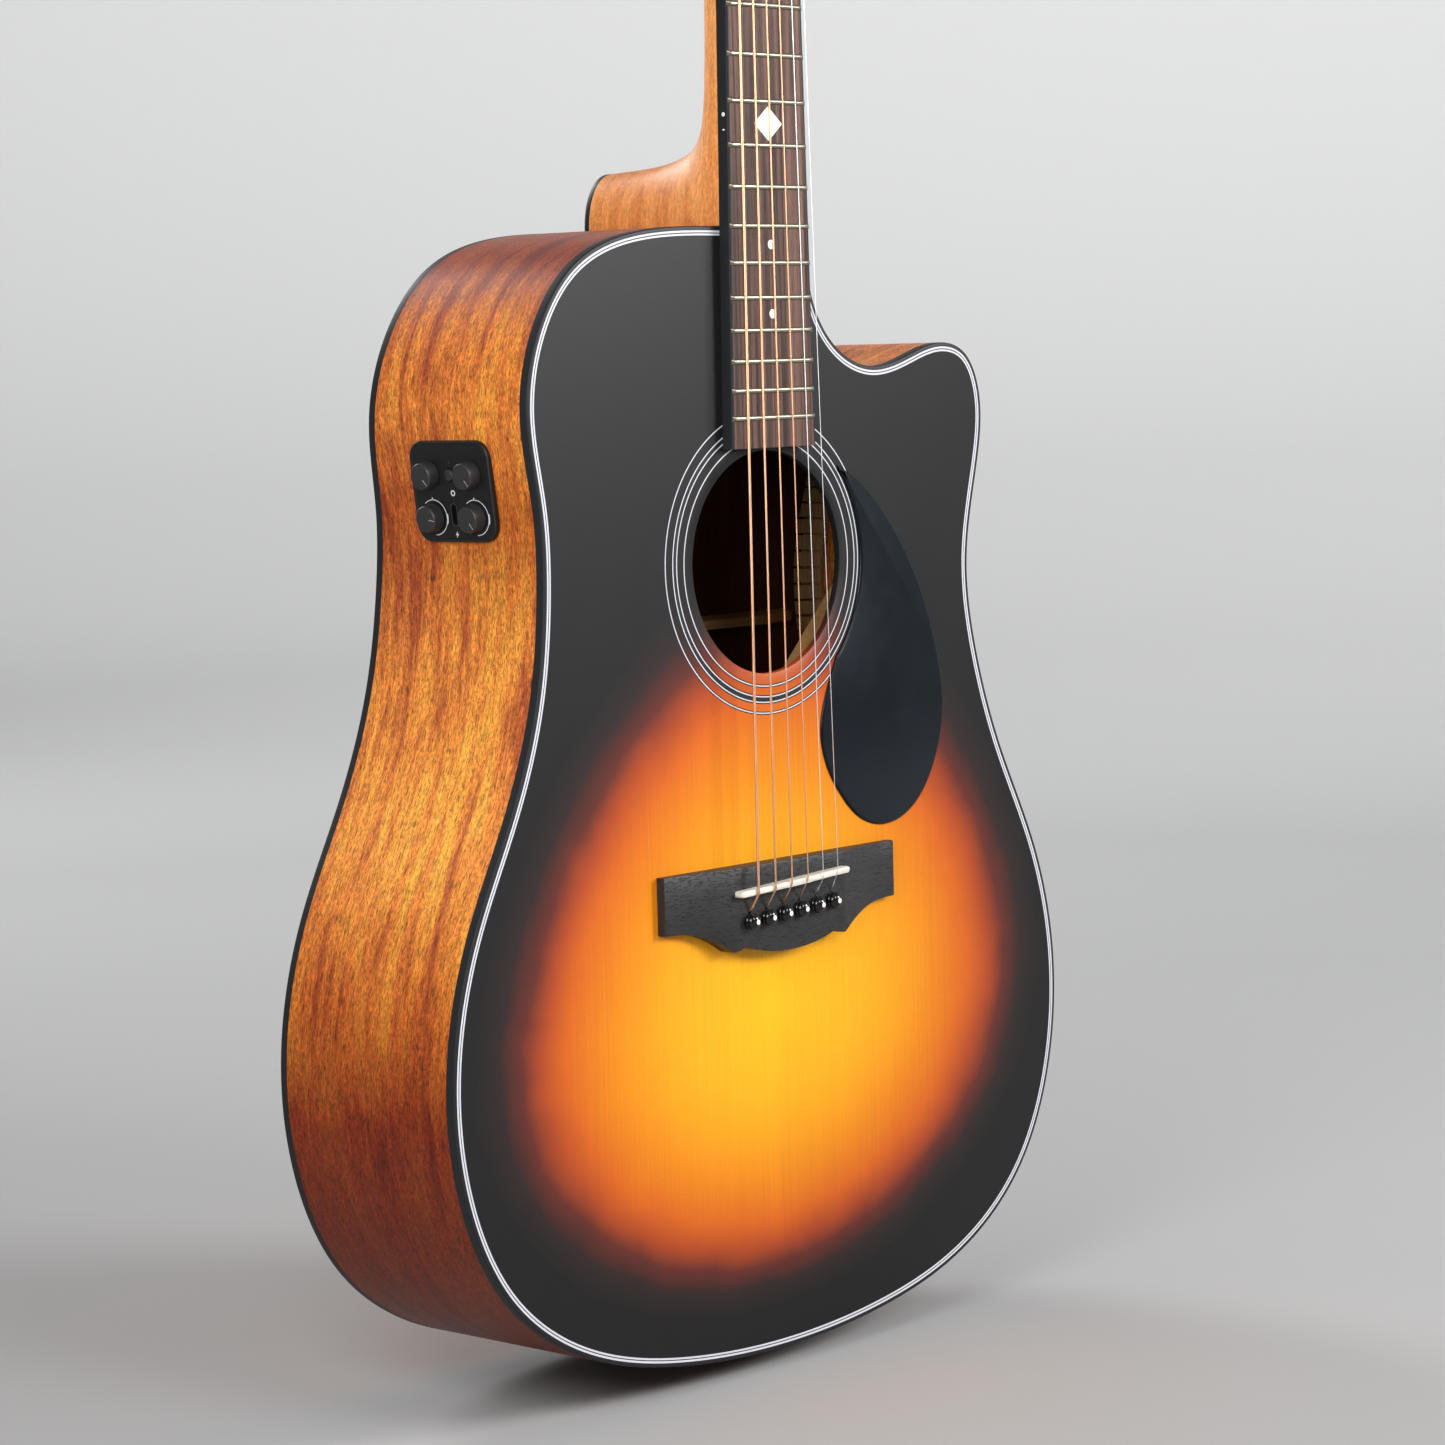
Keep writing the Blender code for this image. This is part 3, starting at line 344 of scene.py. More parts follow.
def mahogany(name, light, middle, dark, run, figured, along_rib=False, book=False):
    """Satin-lacquered mahogany: soft ribbons, a fine glittering figure and short dark pores.

    On a rib, a ramp by height makes the colour darker and redder towards the tail, above the waist and on the
    shoulder: partly the wood's own stain, partly painted light and shade."""
    look = Finish(name, specular=0.24)

    def spread(along):
        place = look.place((along, 1, 1) if along_rib else (1, 1, along), along_rib)
        if not book:
            return place
        x, y, z = look.split(place)
        return look.node("CombineXYZ", look.math("ABSOLUTE", x), y, z).outputs[0]

    ribbon = look.noise(spread(run), 8.0, 4.0, 0.25)
    broad = look.noise(spread(0.3), 55.0, 2.0, 0.3)
    glitter = look.noise(spread(0.45), 0.9, 3.0, 0.5)
    fleck = look.noise(spread(0.25), 2.4, 3.0, 0.3)
    pores = look.noise(spread(0.12), 0.6, 2.0, 0.2)
    tone = look.ramp(look.mix(0.4, ribbon, broad), [(0.38, dark), (0.49, middle), (0.60, light)])
    for share, figure in ((0.6 * figured, glitter), (0.4 * figured, fleck)):
        tone = look.tint(share, tone, look.span(figure, -1.0, 2.9))
    if along_rib:
        # Painted light and shade on the ribs: a colour ramp by height, partly the wood's own redder stain.
        height = look.math("MULTIPLY_ADD", look.split(look.place())[2], 0.0019, 1.66)
        height = look.math("ADD", height, look.span(broad, -0.05, 0.05))
        stain_and_painted_shade = look.ramp(height, [(0.17, shade(119, 68, 52)), (0.26, shade(140, 84, 66)),
                                   (0.35, shade(204, 172, 150)), (0.47, shade(248, 244, 236)),
                                   (0.62, shade(242, 236, 230)), (0.74, shade(188, 152, 144)),
                                   (0.82, shade(228, 216, 206)), (0.89, shade(226, 208, 194)),
                                   (0.94, shade(164, 112, 96))])
        tone = look.mix(1.0, tone, stain_and_painted_shade, "MULTIPLY")
    holes = look.ramp(pores, [(0.36, 0.2), (0.44, 1.0)])
    look.put("Base Color", look.tint(0.8 * figured * figured, tone, holes))
    look.put("Roughness", look.span(fleck, 0.36, 0.5))
    look.bump(holes, 0.03)
    look.bump(glitter, 0.01)
    return look.material


def plain_wood(name, light, dark, run=(1, 1, 0.01), roughness=0.65):
    """Bare straight-grained wood, as inside the body."""
    look = Finish(name, roughness, specular=0.3)
    grain = look.noise(look.place(run), 1.1, 4.0, 0.3)
    broad = look.noise(look.place(run), 14.0, 2.0)
    tone = look.ramp(look.mix(0.4, grain, broad), [(0.35, dark), (0.62, light)])
    look.put("Base Color", tone)
    look.bump(grain, 0.03)
    return look.material


def rosewood():
    look = Finish("rosewood", specular=0.2)
    streak = look.noise(look.place((1, 1, 0.012)), 3.4, 4.0, 0.8)
    fine = look.noise(look.place((1, 1, 0.03)), 0.6, 3.0)
    pores = look.ramp(look.noise(look.place((1, 1, 0.05)), 0.36, 2.0), [(0.33, 0.35), (0.40, 1.0)])
    tone = look.ramp(streak, [(0.34, shade(44, 28, 24)), (0.46, shade(84, 58, 49)),
                              (0.56, shade(106, 76, 65)), (0.68, shade(124, 92, 79))])
    tone = look.tint(0.5, tone, look.span(fine, 0.4, 1.5))
    look.put("Base Color", look.tint(0.85, tone, pores))
    look.put("Roughness", look.span(fine, 0.45, 0.62))
    look.bump(pores, 0.03)
    return look.material


def ebony(name, colour, pore_run, roughness=0.42):
    """Black-stained wood whose open pores show as small dents."""
    look = Finish(name, specular=0.3)
    pores = look.ramp(look.noise(look.place(pore_run), 0.62, 3.0, 0.4), [(0.39, 0.1), (0.46, 1.0)])
    cloud = look.noise(look.place(tuple(part * 0.5 for part in pore_run)), 6.0)
    tone = look.tint(0.5, colour, look.span(cloud, 0.3, 1.7))
    look.put("Base Color", look.tint(0.8, tone, pores))
    look.put("Roughness", look.span(cloud, roughness - 0.08, roughness + 0.1))
    look.bump(pores, 0.1)
    return look.material


def plastic(name, colour, roughness=0.35, texture=0.012, size=0.5, wear=0.12, specular=0.5):
    """Moulded plastic with a fine skin, faint clouds in its colour and small rubbed patches."""
    look = Finish(name, specular=specular)
    skin = look.noise(look.place(), size, 2.0)
    cloud = look.noise(look.place(), 16.0, 3.0)
    tone = look.tint(wear, colour, look.span(cloud, 0.2, 1.8))
    look.put("Base Color", look.tint(wear, tone, look.span(skin, 0.2, 1.8)))
    look.put("Roughness", look.span(cloud, roughness - 0.05, roughness + 0.07))
    look.bump(skin, texture)
    return look.material


def metal(name, colour, roughness, run=(1, 1, 1), size=0.8):
    """Metal with fine polishing lines and slightly uneven tarnish."""
    look = Finish(name, metallic=1.0)
    lines = look.noise(look.place(run), size, 3.0)
    tarnish = look.noise(look.place(), 9.0, 3.0)
    stained = look.mix(1.0, colour, look.span(tarnish, 0.5, 1.3), "MULTIPLY")
    look.put("Base Color", look.mix(0.3, colour, stained))
    look.put("Roughness", look.span(tarnish, roughness * 0.8, roughness * 1.4))
    look.bump(lines, 0.006)
    return look.material


def wound(name, colour, pitch):
    """A wrapped string: round turns of wire across its length, with painted shade in the grooves between
    them.
    """
    look = Finish(name, 0.3, metallic=1.0)
    z = look.split(look.place())[2]
    turns = look.math("SINE", look.math("MULTIPLY", z, 2 * math.pi / pitch))
    groove_shade = look.span(look.math("ABSOLUTE", turns), 0.45, 1.0)
    patina = look.noise(look.place((1, 1, 0.1)), 3.0, 3.0)
    tone = look.tint(0.4, colour, look.span(patina, 0.6, 1.4))
    # Painted shade: the colour darkens in the grooves between the turns.
    look.put("Base Color", look.mix(1.0, tone, groove_shade, "MULTIPLY"))
    look.put("Roughness", look.span(patina, 0.3, 0.42))
    look.bump(turns, 0.008)
    return look.material


def bone():
    look = Finish("bone", coat=0.2, specular=0.5)
    fibre = look.noise(look.place((0.15, 1, 1)), 0.7, 3.0)
    cloud = look.noise(look.place(), 7.0, 3.0)
    tone = look.ramp(look.mix(0.5, fibre, cloud), [(0.3, shade(205, 196, 178)), (0.7, shade(236, 230, 216))])
    look.put("Base Color", tone)
    look.put("Roughness", look.span(cloud, 0.28, 0.42))
    look.put("Subsurface Weight", 0.05)
    look.put("Subsurface Scale", 0.001)
    look.bump(fibre, 0.012)
    return look.material


def pearl():
    """Mother-of-pearl: pale, faintly blue and pink in patches."""
    look = Finish("pearl", 0.25, coat=0.3)
    cloud = look.noise(look.place((1, 1, 0.6)), 1.8, 3.0, 1.2)
    look.put("Base Color", look.ramp(cloud, [(0.3, shade(222, 226, 232)), (0.5, shade(244, 243, 240)),
                                             (0.7, shade(236, 226, 228))]))
    look.bump(cloud, 0.004)
    return look.material


def studio_grey_painted_shade():
    """A pale grey floor and wall with painted shade: darker on the floor, darkest about 2 m out, and lighter
    up the wall, by distance from the middle.
    """
    look = Finish("studio_grey_painted_shade", 0.9, specular=0.0)
    share = 0.001 / STUDIO_REACH
    place = look.place((share, share, share))
    reach = look.node("VectorMath", place, operation="LENGTH").outputs["Value"]
    # Painted shade on the backdrop: the grey ramp darkens the floor and lightens the wall.
    look.put("Base Color", look.ramp(reach, [(0.11, 0.42), (0.19, 0.37), (0.27, 0.35), (0.415, 0.43),
                                             (0.61, 0.58), (0.71, 0.61), (0.76, 0.69), (0.8, 0.75)]))
    return look.material


# --- mesh helpers --------------------------------------------------------------------------

def spline(points, steps):
    """Samples of the smooth open curve through the points, with steps samples per interval."""
    p = np.array(points, float)
    h = np.linalg.norm(np.diff(p, axis=0), axis=1)
    system = np.eye(len(p))
    slopes = np.zeros_like(p)
    for i in range(1, len(p) - 1):
        system[i, i - 1:i + 2] = (h[i - 1], 2 * (h[i - 1] + h[i]), h[i])
        slopes[i] = 6 * ((p[i + 1] - p[i]) / h[i] - (p[i] - p[i - 1]) / h[i - 1])
    bend = np.linalg.solve(system, slopes)
    samples = []
    for i in range(len(p) - 1):
        for step in range(steps):
            b = step / steps
            a = 1 - b
            curve = ((a ** 3 - a) * bend[i] + (b ** 3 - b) * bend[i + 1]) * h[i] ** 2 / 6
            samples.append(a * p[i] + b * p[i + 1] + curve)
    samples.append(p[-1])
    return np.array(samples)


def inset(outline, distance):
    """The closed clockwise outline moved inwards by distance, with mitred corners."""
    ahead = np.roll(outline, -1, axis=0) - outline
    normals = np.stack([ahead[:, 1], -ahead[:, 0]], axis=1)
    normals /= np.linalg.norm(normals, axis=1)[:, None]
    before = np.roll(normals, 1, axis=0)
    mitre = (normals + before) / (1 + (normals * before).sum(axis=1))[:, None]
    return outline + distance * mitre


def loft(name, rings, finish, matrix=None, closed=False, uvs=None, sharp=35):
    """A solid skin over rings of equally many points, capped at its ends unless it closes."""
    size = len(rings[0])
    verts = [tuple(float(c) for c in point) for ring in rings for point in ring]
    faces = []
    for i in range(len(rings) if closed else len(rings) - 1):
        here, there = i * size, (i + 1) % len(rings) * size
        for j in range(size):
            k = (j + 1) % size
            faces.append((here + j, here + k, there + k, there + j))
    if not closed:
        faces.append(tuple(range(size)))
        faces.append(tuple(range(len(verts) - size, len(verts))))
    mesh = bpy.data.meshes.new(name)
    mesh.from_pydata(verts, [], faces)
    if uvs is not None:
        layer = mesh.uv_layers.new(name=GRAIN)
        for loop in mesh.loops:
            layer.data[loop.index].uv = uvs[loop.vertex_index]
    shell = bmesh.new()
    shell.from_mesh(mesh)
    bmesh.ops.recalc_face_normals(shell, faces=shell.faces)
    shell.to_mesh(mesh)
    shell.free()
    mesh.shade_smooth()
    mesh.set_sharp_from_angle(angle=math.radians(sharp))
    mesh.materials.append(finish)
    made = bpy.data.objects.new(name, mesh)
    bpy.context.scene.collection.objects.link(made)
    if matrix is not None:
        made.matrix_world = matrix
    return made


def turned(name, profile, sides, finish, matrix=None, closed=False):
    """A solid turned about local Z from (radius, height) points; closed leaves it hollow."""
    turns = [2 * math.pi * k / sides for k in range(sides)]
    rings = [[(radius * math.cos(t), radius * math.sin(t), height) for t in turns]
             for radius, height in profile]
    return loft(name, rings, finish, matrix, closed)


def block(name, low, high, finish, matrix=None):
    (x0, y0, z0), (x1, y1, z1) = low, high
    rings = [[(x0, y0, z), (x1, y0, z), (x1, y1, z), (x0, y1, z)] for z in (z0, z1)]
    return loft(name, rings, finish, matrix)


def rounded(half_x, half_y, corner, steps=8):
    """Points of a rectangle with round corners, anticlockwise about its middle."""
    points = []
    for quarter, (sx, sy) in enumerate([(1, 1), (-1, 1), (-1, -1), (1, -1)]):
        for step in range(steps + 1):
            turn = math.pi / 2 * (quarter + step / steps)
            points.append((sx * (half_x - corner) + corner * math.cos(turn),
                           sy * (half_y - corner) + corner * math.sin(turn)))
    return points


def tube(name, route, radii, finish, sides=12):
    """A round wire along the route; radii is one radius or one for each point."""
    points = [Vector(point) for point in route]
    if not isinstance(radii, list):
        radii = [radii] * len(points)
    rings = []
    lift = Vector((0, -1, 0))
    for i, here in enumerate(points):
        along = (points[min(i + 1, len(points) - 1)] - points[max(i - 1, 0)]).normalized()
        lift = (lift - along * lift.dot(along)).normalized()
        across = along.cross(lift)
        turns = [2 * math.pi * k / sides for k in range(sides)]
        rings.append([here + radii[i] * (math.cos(t) * across + math.sin(t) * lift) for t in turns])
    return loft(name, rings, finish, sharp=60)


def combine(target, tool, operation="DIFFERENCE"):
    """Cuts or joins the target with the tool, and removes the tool."""
    step = target.modifiers.new("step", "BOOLEAN")
    step.operation = operation
    step.solver = "EXACT"
    step.object = tool
    bpy.context.view_layer.update()
    graph = bpy.context.evaluated_depsgraph_get()
    result = bpy.data.meshes.new_from_object(target.evaluated_get(graph))
    result.set_sharp_from_angle(angle=math.radians(35))
    target.modifiers.clear()
    target.data = result
    bpy.data.objects.remove(tool)
    return target


def drill(target, radius, start, end, sides, finish, place):
    """A round hole along the place's local Z, from start to end."""
    combine(target, turned("drill", [(radius, start), (radius, end)], sides, finish, place))


def merged(name, pieces):
    """One object from pieces that never part, such as the rings of an inlay."""
    bpy.ops.object.select_all(action="DESELECT")
    for piece in pieces:
        piece.select_set(True)
    bpy.context.view_layer.objects.active = pieces[0]
    bpy.ops.object.join()
    pieces[0].name = name
    return pieces[0]


def settle(piece, slot, *nodes, body="guitar"):
    """Brings a finished piece to metres, puts it under the body it moves with, and hides the imported parts
    it stands for.
    """
    piece.data.transform(Matrix.Scale(MM, 4))
    piece.location *= MM
    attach(piece, body)
    if nodes:
        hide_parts(*nodes)
    return piece


# --- places --------------------------------------------------------------------------------

def body_outline():
    mirrored = [(-x, z) for x, z in reversed(LOWER_HALF)]
    return spline(TREBLE_SHOULDER + LOWER_HALF + [TAIL] + mirrored + BASS_SHOULDER, FINE)


def tail_index():
    return (len(TREBLE_SHOULDER) + len(LOWER_HALF)) * FINE


def back_y(x, z):
    peak_y, peak_z = BACK_PEAK
    return peak_y - (x * x + (z - peak_z) ** 2) / (2 * BACK_RADIUS)


def fret_z(number):
    return -SCALE * (1 - 2 ** (-number / 12))


def board_half(z):
    return NUT_HALF + (FRET20_HALF - NUT_HALF) * z / fret_z(FRETS)


def crown(x, half):
    return BOARD_CROWN * (1 - (x / half) ** 2)


def string_share(index):
    """-1 for the lowest string to +1 for the highest."""
    return (index - 2.5) / 2.5


def head_point(distance, x=0.0, out=0.0):
    y, z = HEAD_START
    sine, cosine = math.sin(HEAD_ANGLE), math.cos(HEAD_ANGLE)
    return (x, y + distance * sine - out * cosine, z + distance * cosine + out * sine)


def front_frame(x, y, z):
    """A frame whose local Z points out of the soundboard."""
    return Matrix.Translation((x, y, z)) @ Matrix.Rotation(math.pi / 2, 4, "X")


def joint_frame(name, across):
    """A joint's place, with local Z along its axis and local X as near as can be to across."""
    joint = next(joint for joint in frame["joints"] if joint["name"] == name)
    out = Vector(joint["axis"]).normalized()
    side = (Vector(across) - out * out.dot(Vector(across))).normalized()
    made = Matrix((side, out.cross(side), out)).transposed().to_4x4()
    made.translation = Vector(joint["pos_m"]) / MM
    return made


def preamp_frame():
    """Local X points to the front, Y up along the side and Z out of the body."""
    frames = [joint_frame(f"preamp_knob_{number}_turn", (0, -1, 0)) for number in (1, 2, 3, 4)]
    middle = sum((made.translation for made in frames), Vector()) / 4
    made = frames[0].copy()
    made.translation = middle - made.col[1].xyz * sum(KNOB_YS) / 2
    return made


def place_on(base, x, y):
    return base @ Matrix.Translation((x, y, 0.0))


# --- body ----------------------------------------------------------------------------------

def flat_ring(points, y):
    return [(x, y, z) for x, z in points]


def hole_ring(outline, radius, y):
    """A circle about the soundhole with a point in the direction of each outline point."""
    turns = [math.atan2(z - HOLE_Z, x) for x, z in outline]
    return [(radius * math.cos(t), y, HOLE_Z + radius * math.sin(t)) for t in turns]


def top_plate(outline, finish):
    rim = inset(outline, RIM)
    back, floor = TOP_Y + TOP_THICK, TOP_Y + GROOVE_DEPTH + HAIR
    rings = [flat_ring(rim, back), flat_ring(rim, TOP_Y)]
    for outer, inner in GROOVES:
        for radius, y in ((outer, TOP_Y), (outer, floor), (inner, floor), (inner, TOP_Y)):
            rings.append(hole_ring(rim, radius, y))
    for swell, y in ((0.5, TOP_Y), (0.15, TOP_Y + 0.15), (0.0, TOP_Y + 0.5), (0.0, back)):
        rings.append(hole_ring(rim, HOLE_RADIUS + swell, y))
    return loft("top_plate", rings, finish, closed=True)


def band(name, outline, profile, surface, finish):
    """A closed strip round the outline; the profile gives distance in and signed depth."""
    edges = [inset(outline, distance) for distance, _ in profile]
    rings = []
    for i in range(len(outline)):
        rings.append([(edge[i][0], surface(*edge[i]) + depth, edge[i][1])
                      for edge, (_, depth) in zip(edges, profile)])
    return loft(name, rings, finish, closed=True)


def edge_profile(depth):
    """Section of a binding strip with its outer corner rounded over."""
    return [(0, depth), (0, depth * 0.16), (0.06, depth * 0.08), (0.22, depth * 0.03),
            (0.5, 0), (BINDING_WIDTH, 0), (BINDING_WIDTH, depth)]


def top_surface(x, z):
    return TOP_Y


def bindings(outline, black, white):
    front = band("front_binding_strip", outline, edge_profile(BINDING_FRONT_DEPTH), top_surface, black)
    settle(front, "black_binding", "binding_front")
    back = band("back_binding_strip", outline, edge_profile(-BINDING_BACK_DEPTH), back_y, black)
    settle(back, "black_binding", "binding_back")
    for number, (colour, near, far) in enumerate(PURFLING):
        profile = [(near, 0), (far, 0), (far, PURFLING_DEPTH), (near, PURFLING_DEPTH)]
        finish = white if colour == "white" else black
        line = band(f"purfling_line_{number + 1}", outline, profile, top_surface, finish)
        settle(line, "rosette_lines" if colour == "white" else "black_binding")


def outline_lengths(outline):
    """The length along the outline from its first point to each of its points."""
    steps = np.linalg.norm(np.diff(outline, axis=0), axis=1)
    return np.concatenate([[0], np.cumsum(steps)])


def rib(name, outline, stations, finish):
    """A bent side with its grain map: the length along it and its depth."""
    outer, inner = inset(outline, SIDE_SET), inset(outline, SIDE_SET + SIDE_THICK)
    lengths = outline_lengths(outline)
    rings, uvs = [], []
    for i in stations:
        (xo, zo), (xi, zi) = outer[i], inner[i]
        if i == tail_index():
            xo = xi = HAIR if name.endswith("treble") else -HAIR
        front = TOP_Y + BINDING_FRONT_DEPTH + HAIR
        drop = BINDING_BACK_DEPTH + HAIR
        ring = [(xo, front, zo), (xo, back_y(xo, zo) - drop, zo), (xi, back_y(xi, zi) - drop, zi),
                (xi, front, zi)]
        rings.append(ring)
        run = lengths[i] if i else lengths[-1] + CLOSING_GAP
        uvs += [(run, point[1]) for point in ring]
    return loft(name, rings, finish, uvs=uvs)


def ribs(outline, finish):
    tail = tail_index()
    treble = rib("rib_treble", outline, range(0, tail + 1), finish)
    bass = rib("rib_bass", outline, [*range(tail, len(outline)), 0], finish)
    return treble, bass


def back_dome(outline, finish, inside_shade):
    edge = inset(outline, BINDING_WIDTH + HAIR)
    middle = np.array([0, -600.0])
    outside, inside = [], []
    for share in (0.01, 0.1, 0.2, 0.3, 0.4, 0.5, 0.6, 0.7, 0.8, 0.9, 0.96, 1.0):
        ring = middle + (edge - middle) * share
        outside.append([(x, back_y(x, z), z) for x, z in ring])
        inside.insert(0, [(x, back_y(x, z) - BACK_THICK, z) for x, z in ring])
    made = loft("back_dome", outside + inside, finish)
    # The inside faces get the darkened wood: painted shade for the body's dark inside.
    shade_inside(made, inside_shade, (len(inside) - 1) * len(edge), len(outside) * len(edge))
    return made


def shade_inside(made, inside_shade, count, start):
    """Give the faces that look into the body their own unlacquered wood, painted dark as shade for the dark
    inside of the body.
    """
    made.data.materials.append(inside_shade)
    for face in made.data.polygons[start:start + count]:
        face.material_index = 1


def kerfed(name, outline, surface, inward, finish):
    """A lining sawn almost through every few millimetres, so that it bends round the rib."""
    first, last = 4 * FINE, len(outline) - 2 * FINE
    lengths = outline_lengths(outline)
    near = SIDE_SET + SIDE_THICK + 0.3
    edges = [inset(outline, near + part) for part in (0.0, 1.2, 2.2, LINING_THICK)]

    def section(run, full):
        outer, web, toe, heel = [(np.interp(run, lengths, edge[:, 0]), np.interp(run, lengths, edge[:, 1]))
                                 for edge in edges]
        if not full:
            toe = heel = web
        depths = ((outer, 0), (heel, 0), (heel, 5), (toe, LINING_DEPTH), (outer, LINING_DEPTH))
        return [(x, surface(x, z) + inward * (0.3 + depth), z) for (x, z), depth in depths]

    rings = []
    run = lengths[first]
    while run + KERF_PITCH < lengths[last]:
        rings += [section(run, True), section(run + KERF_TOOTH, True),
                  section(run + KERF_TOOTH, False), section(run + KERF_PITCH, False)]
        run += KERF_PITCH
    return loft(name, rings, finish)


def rosette(white, black):
    place = front_frame(0, 0, HOLE_Z)
    spans = {"white": [(radius - WHITE_HALF, radius + WHITE_HALF) for radius in WHITE_LINES],
             "black": DARK_LINES}
    for colour, finish in (("white", white), ("black", black)):
        rings = []
        for low, high in spans[colour]:
            face, floor = -TOP_Y, -TOP_Y - GROOVE_DEPTH
            profile = [(low, face), (high, face), (high, floor), (low, floor)]
            rings.append(turned("ring", profile, 144, finish, place, closed=True))
        made = merged(f"rosette_{colour}_lines", rings)
        settle(made, "rosette_lines", *(["rosette"] if colour == "white" else []))


def pickguard(finish):
    arc = []
    for step in range(41):
        turn = math.radians(40 - 85 * step / 40)
        arc.append((GUARD_INNER_RADIUS * math.cos(turn), HOLE_Z + GUARD_INNER_RADIUS * math.sin(turn)))
    edge = spline([arc[-1]] + GUARD_EDGE + [arc[0]], 10)[1:-1]
    outline = np.array((arc + [tuple(point) for point in edge])[::-1])
    back = TOP_Y - 0.05
    steps = ((0.0, 0.0), (0.0, 0.35), (0.35, 0.8), (0.8, 1.1), (1.3, GUARD_THICK))
    rings = [flat_ring(inset(outline, shrink), back - rise) for shrink, rise in steps]
    settle(loft("pickguard_sheet", rings, finish, sharp=50), "pickguard_plastic", "pickguard")


# --- bridge --------------------------------------------------------------------------------

def bridge_face():
    return TOP_Y - 0.3 - BRIDGE_BELLY[0][2]


def pin_x(index):
    return string_share(index) * PIN_SPREAD / 2


def pin_z(index):
    return PIN_Z + PIN_SLANT * string_share(index) / 2


def saddle_z(x):
    return SADDLE_Z + SADDLE_SLANT * x / SADDLE_LENGTH


def saddle_frame():
    slant = math.atan2(SADDLE_SLANT, SADDLE_LENGTH)
    return Matrix.Translation((0, 0, SADDLE_Z)) @ Matrix.Rotation(-slant, 4, "Y")


def bridge_section(x, low_z, thick):
    base, face, top_z = TOP_Y - 0.05, TOP_Y - 0.3 - thick, BRIDGE_TOP_Z
    return [(x, base, top_z), (x, face + 0.6, top_z), (x, face + 0.17, top_z - 0.17),
            (x, face, top_z - 0.6), (x, face, low_z + 0.6), (x, face + 0.17, low_z + 0.17),
            (x, face + 0.6, low_z), (x, base, low_z)]


def bridge(finish):
    half = [*spline(BRIDGE_BELLY, 5), *BRIDGE_TIP, *spline(BRIDGE_WING, 5), *BRIDGE_END]
    stations = [(-x, low, thick) for x, low, thick in reversed(half[1:])] + half
    made = loft("bridge_block", [bridge_section(*station) for station in stations], finish)
    slot, length = SADDLE_THICK / 2 + HAIR, SADDLE_LENGTH / 2 + HAIR
    combine(made, block("slot", (-length, -20, -slot), (length, 1.0, slot), finish, saddle_frame()))
    for index, radius in enumerate(STRING_RADII):
        place = front_frame(pin_x(index), 0, pin_z(index))
        drill(made, PIN_RADIUS + 0.45, 20.0, -30.0, 32, finish, place)
        wide = radius + 0.2
        combine(made, block("ramp", (-wide, 2.0, -20), (wide, 4.6, 20), finish, place))
    return settle(made, "bridge_wood", "bridge")


def drill_plate(plate, finish):
    for index in range(6):
        place = front_frame(pin_x(index), 0, pin_z(index))
        drill(plate, PIN_RADIUS + 0.3, 20.0, -30.0, 24, finish, place)


def crest_shift(x):
    """How far the saddle's crest lies off its middle line, set for each string."""
    places = [string_share(index) * SADDLE_SPREAD / 2 for index in range(6)]
    return float(np.interp(x, places, COMPENSATION))


def saddle(finish):
    rings = []
    steps = 96
    for step in range(steps + 1):
        x = SADDLE_LENGTH * (step / steps - 0.5)
        end = max(0.0, abs(x) - SADDLE_LENGTH / 2 + 1.4)
        half = SADDLE_THICK / 2 - end ** 2 * 0.35
        crest = STRING_Y_SADDLE + STRING_RADII[0] - SADDLE_CROWN * max(0.0, 1 - (2 * x / SADDLE_SPREAD) ** 2)
        crest += end ** 2 * 0.5
        peak = min(max(crest_shift(x), 0.3 - half), half - 0.3)
        rings.append([(x, 0.7, -half), (x, crest + 1.3, -half), (x, crest + 0.5, -half + 0.15),
                      (x, crest + 0.08, (peak - half) / 2), (x, crest, peak),
                      (x, crest + 0.08, (peak + half) / 2), (x, crest + 0.5, half - 0.15),
                      (x, crest + 1.3, half), (x, 0.7, half)])
    made = loft("saddle_strip", rings, finish, sharp=50)
    made.data.transform(saddle_frame())
    settle(made, "bone", "saddle")


def bridge_pins(black, white):
    """Glossy pins with a ball head on a collar, and a pearl dot let into the top."""
    shank = [(1.9, -24.0), (2.3, -23.5), (PIN_RADIUS, -1.0), (PIN_RADIUS, 0.0)]
    collar = [(3.2, PIN_RISE * 0.9), (3.75, PIN_RISE + 0.15), (3.9, PIN_RISE + 0.6), (3.7, PIN_RISE + 1.05),
              (3.35, PIN_RISE + 1.3)]
    ball = []
    for step in range(9):
        turn = math.radians(-6 + 77 * step / 8)
        ball.append((3.9 * math.cos(turn), PIN_RISE + 1.6 + 2.9 * math.sin(turn)))
    top = ball[-1][1]
    ball += [(1.2, top + 0.06), (1.2, top - 0.5), (0.3, top - 0.5)]
    dot = [(1.15, top - 0.45), (1.15, top + 0.08), (1.0, top + 0.16), (0.5, top + 0.22), (0.1, top + 0.24)]
    for index in range(6):
        place = front_frame(pin_x(index), bridge_face() - HAIR, pin_z(index))
        ball_pin = turned(f"pin_body_{index + 1}", shank + collar + ball, 40, black, place)
        settle(ball_pin, "pin_plastic", f"bridge_pin_{index + 1}")
        settle(turned(f"pin_dot_{index + 1}", dot, 24, white, place), "bone")


# --- neck ----------------------------------------------------------------------------------

